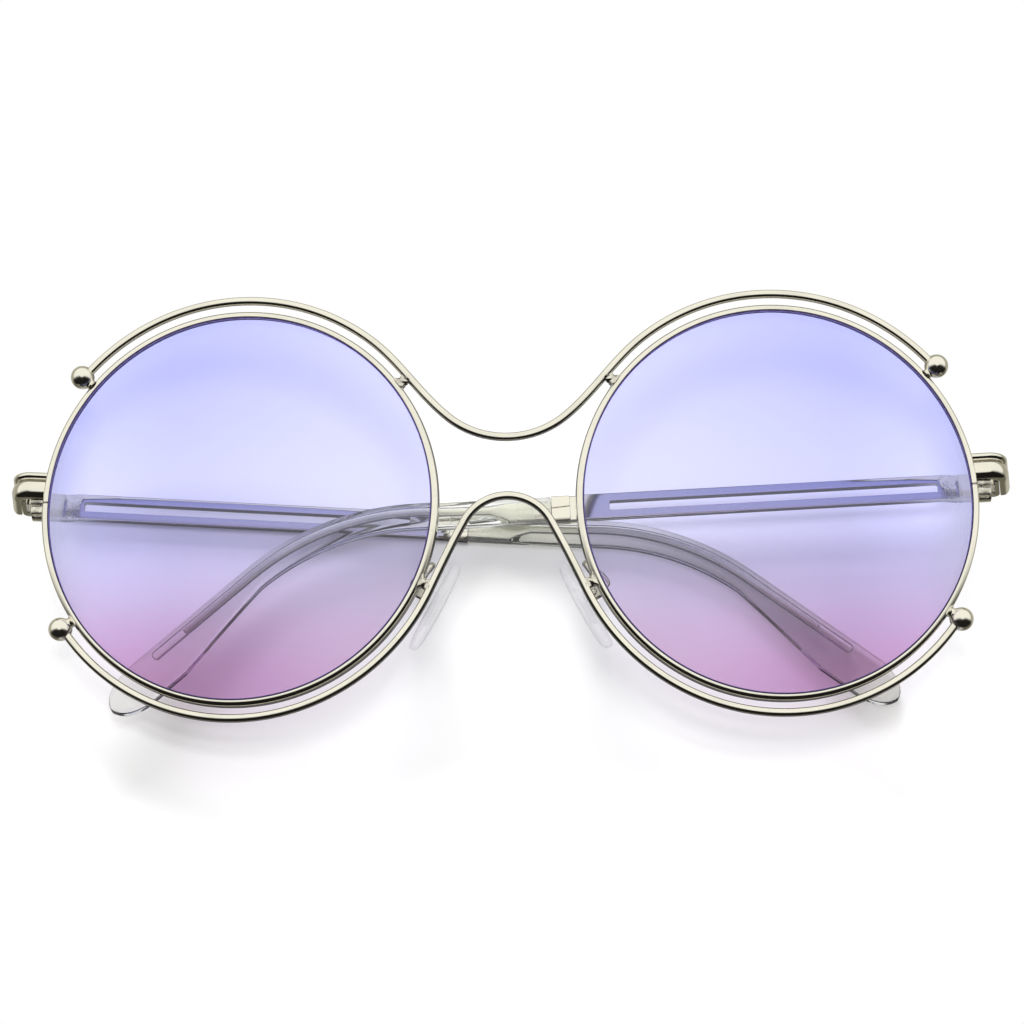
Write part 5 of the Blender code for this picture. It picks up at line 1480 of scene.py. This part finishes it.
class SUNGLASSES_OT_endpieces(Operator):
    """Make the ridged endpieces and round the closing blocks and their screws"""

    bl_idname = "sunglasses.endpieces"
    bl_label = "Endpieces"

    def execute(self, context):
        rounding = settings().edge_rounding
        for side, name in SIDE_NAMES.items():
            add_piece(f"{name}_endpiece", endpiece_mesh(side), polished_silver(), "front")
            for part in ("upper_closing_block", "lower_closing_block"):
                dress_copy(f"{name}_{part}", rounding, satin_silver())
            dress_copy(f"{name}_closing_screw", rounding, polished_silver())
        return {"FINISHED"}


class SUNGLASSES_OT_hinges(Operator):
    """Round the hinge leaves and the hinge screws"""

    bl_idname = "sunglasses.hinges"
    bl_label = "Hinges"

    def execute(self, context):
        for name in SIDE_NAMES.values():
            for part in ("hinge_front_half", "hinge_temple_half", "hinge_screw"):
                dress_copy(f"{name}_{part}", settings().edge_rounding, polished_silver())
        return {"FINISHED"}


class SUNGLASSES_OT_temples(Operator):
    """Round the slotted temples and make their clear tips"""

    bl_idname = "sunglasses.temples"
    bl_label = "Temples"

    def execute(self, context):
        for side, name in SIDE_NAMES.items():
            temple = dress_copy(f"{name}_temple", settings().edge_rounding, temple_silver())
            mark_moulded_in(temple.data, side)
            add_piece(f"{name}_temple_tip", tip_mesh(side), clear_tip(), f"{name}_temple_body")
        return {"FINISHED"}


class SUNGLASSES_OT_nose_pads(Operator):
    """Make the clear nose pads, their arms, boxes, inserts and screws"""

    bl_idname = "sunglasses.nose_pads"
    bl_label = "Nose pads"

    def execute(self, context):
        rounding = 0.6 * settings().edge_rounding
        for side, name in SIDE_NAMES.items():
            add_piece(f"{name}_nose_pad", pad_mesh(side), pad_silicone(), f"{name}_pad_body")
            add_piece(f"{name}_pad_arm", arm_mesh(side), polished_silver(), "front")
            for part in ("pad_box", "pad_screw"):
                dress_copy(f"{name}_{part}", rounding, polished_silver())
            dress_copy(f"{name}_pad_insert", rounding, pad_core())
        return {"FINISHED"}


class SUNGLASSES_OT_stage(Operator):
    """Make the table, the lamps, the room and the camera"""

    bl_idname = "sunglasses.stage"
    bl_label = "Studio"

    def execute(self, context):
        make_floor()
        make_world()
        for name, place, size, share in LAMPS:
            add_area_light(name, place, size, settings().lamp_power * share)
        make_camera()
        context.scene.view_settings.view_transform = "Standard"
        need(context.scene.camera is not None, "there is no camera")
        return {"FINISHED"}


class SUNGLASSES_PT_panel(Panel):
    """Buttons and settings of the sunglasses"""

    bl_label = "Round sunglasses"
    bl_idname = "SUNGLASSES_PT_panel"
    bl_space_type = "VIEW_3D"
    bl_region_type = "UI"
    bl_category = "Sunglasses"

    def draw(self, context):
        for step in STEPS:
            self.layout.operator(step.bl_idname)
        for name in SunglassesSettings.__annotations__:
            self.layout.prop(context.scene.sunglasses, name)


STEPS = (SUNGLASSES_OT_rims, SUNGLASSES_OT_lenses, SUNGLASSES_OT_outer_wires,
         SUNGLASSES_OT_endpieces, SUNGLASSES_OT_hinges, SUNGLASSES_OT_temples,
         SUNGLASSES_OT_nose_pads, SUNGLASSES_OT_stage)
CLASSES = (SunglassesSettings, *STEPS, SUNGLASSES_PT_panel)


def register():
    """Register the classes and the scene's settings."""
    for item in CLASSES:
        bpy.utils.register_class(item)
    bpy.types.Scene.sunglasses = PointerProperty(type=SunglassesSettings)


def unregister():
    """Take the classes and the settings away again."""
    del bpy.types.Scene.sunglasses
    for item in reversed(CLASSES):
        bpy.utils.unregister_class(item)


def main():
    """Make every piece in order."""
    register()
    bpy.ops.sunglasses.rims()
    bpy.ops.sunglasses.lenses()
    bpy.ops.sunglasses.outer_wires()
    bpy.ops.sunglasses.endpieces()
    bpy.ops.sunglasses.hinges()
    bpy.ops.sunglasses.temples()
    bpy.ops.sunglasses.nose_pads()
    bpy.ops.sunglasses.stage()


if __name__ == "__main__":
    main()
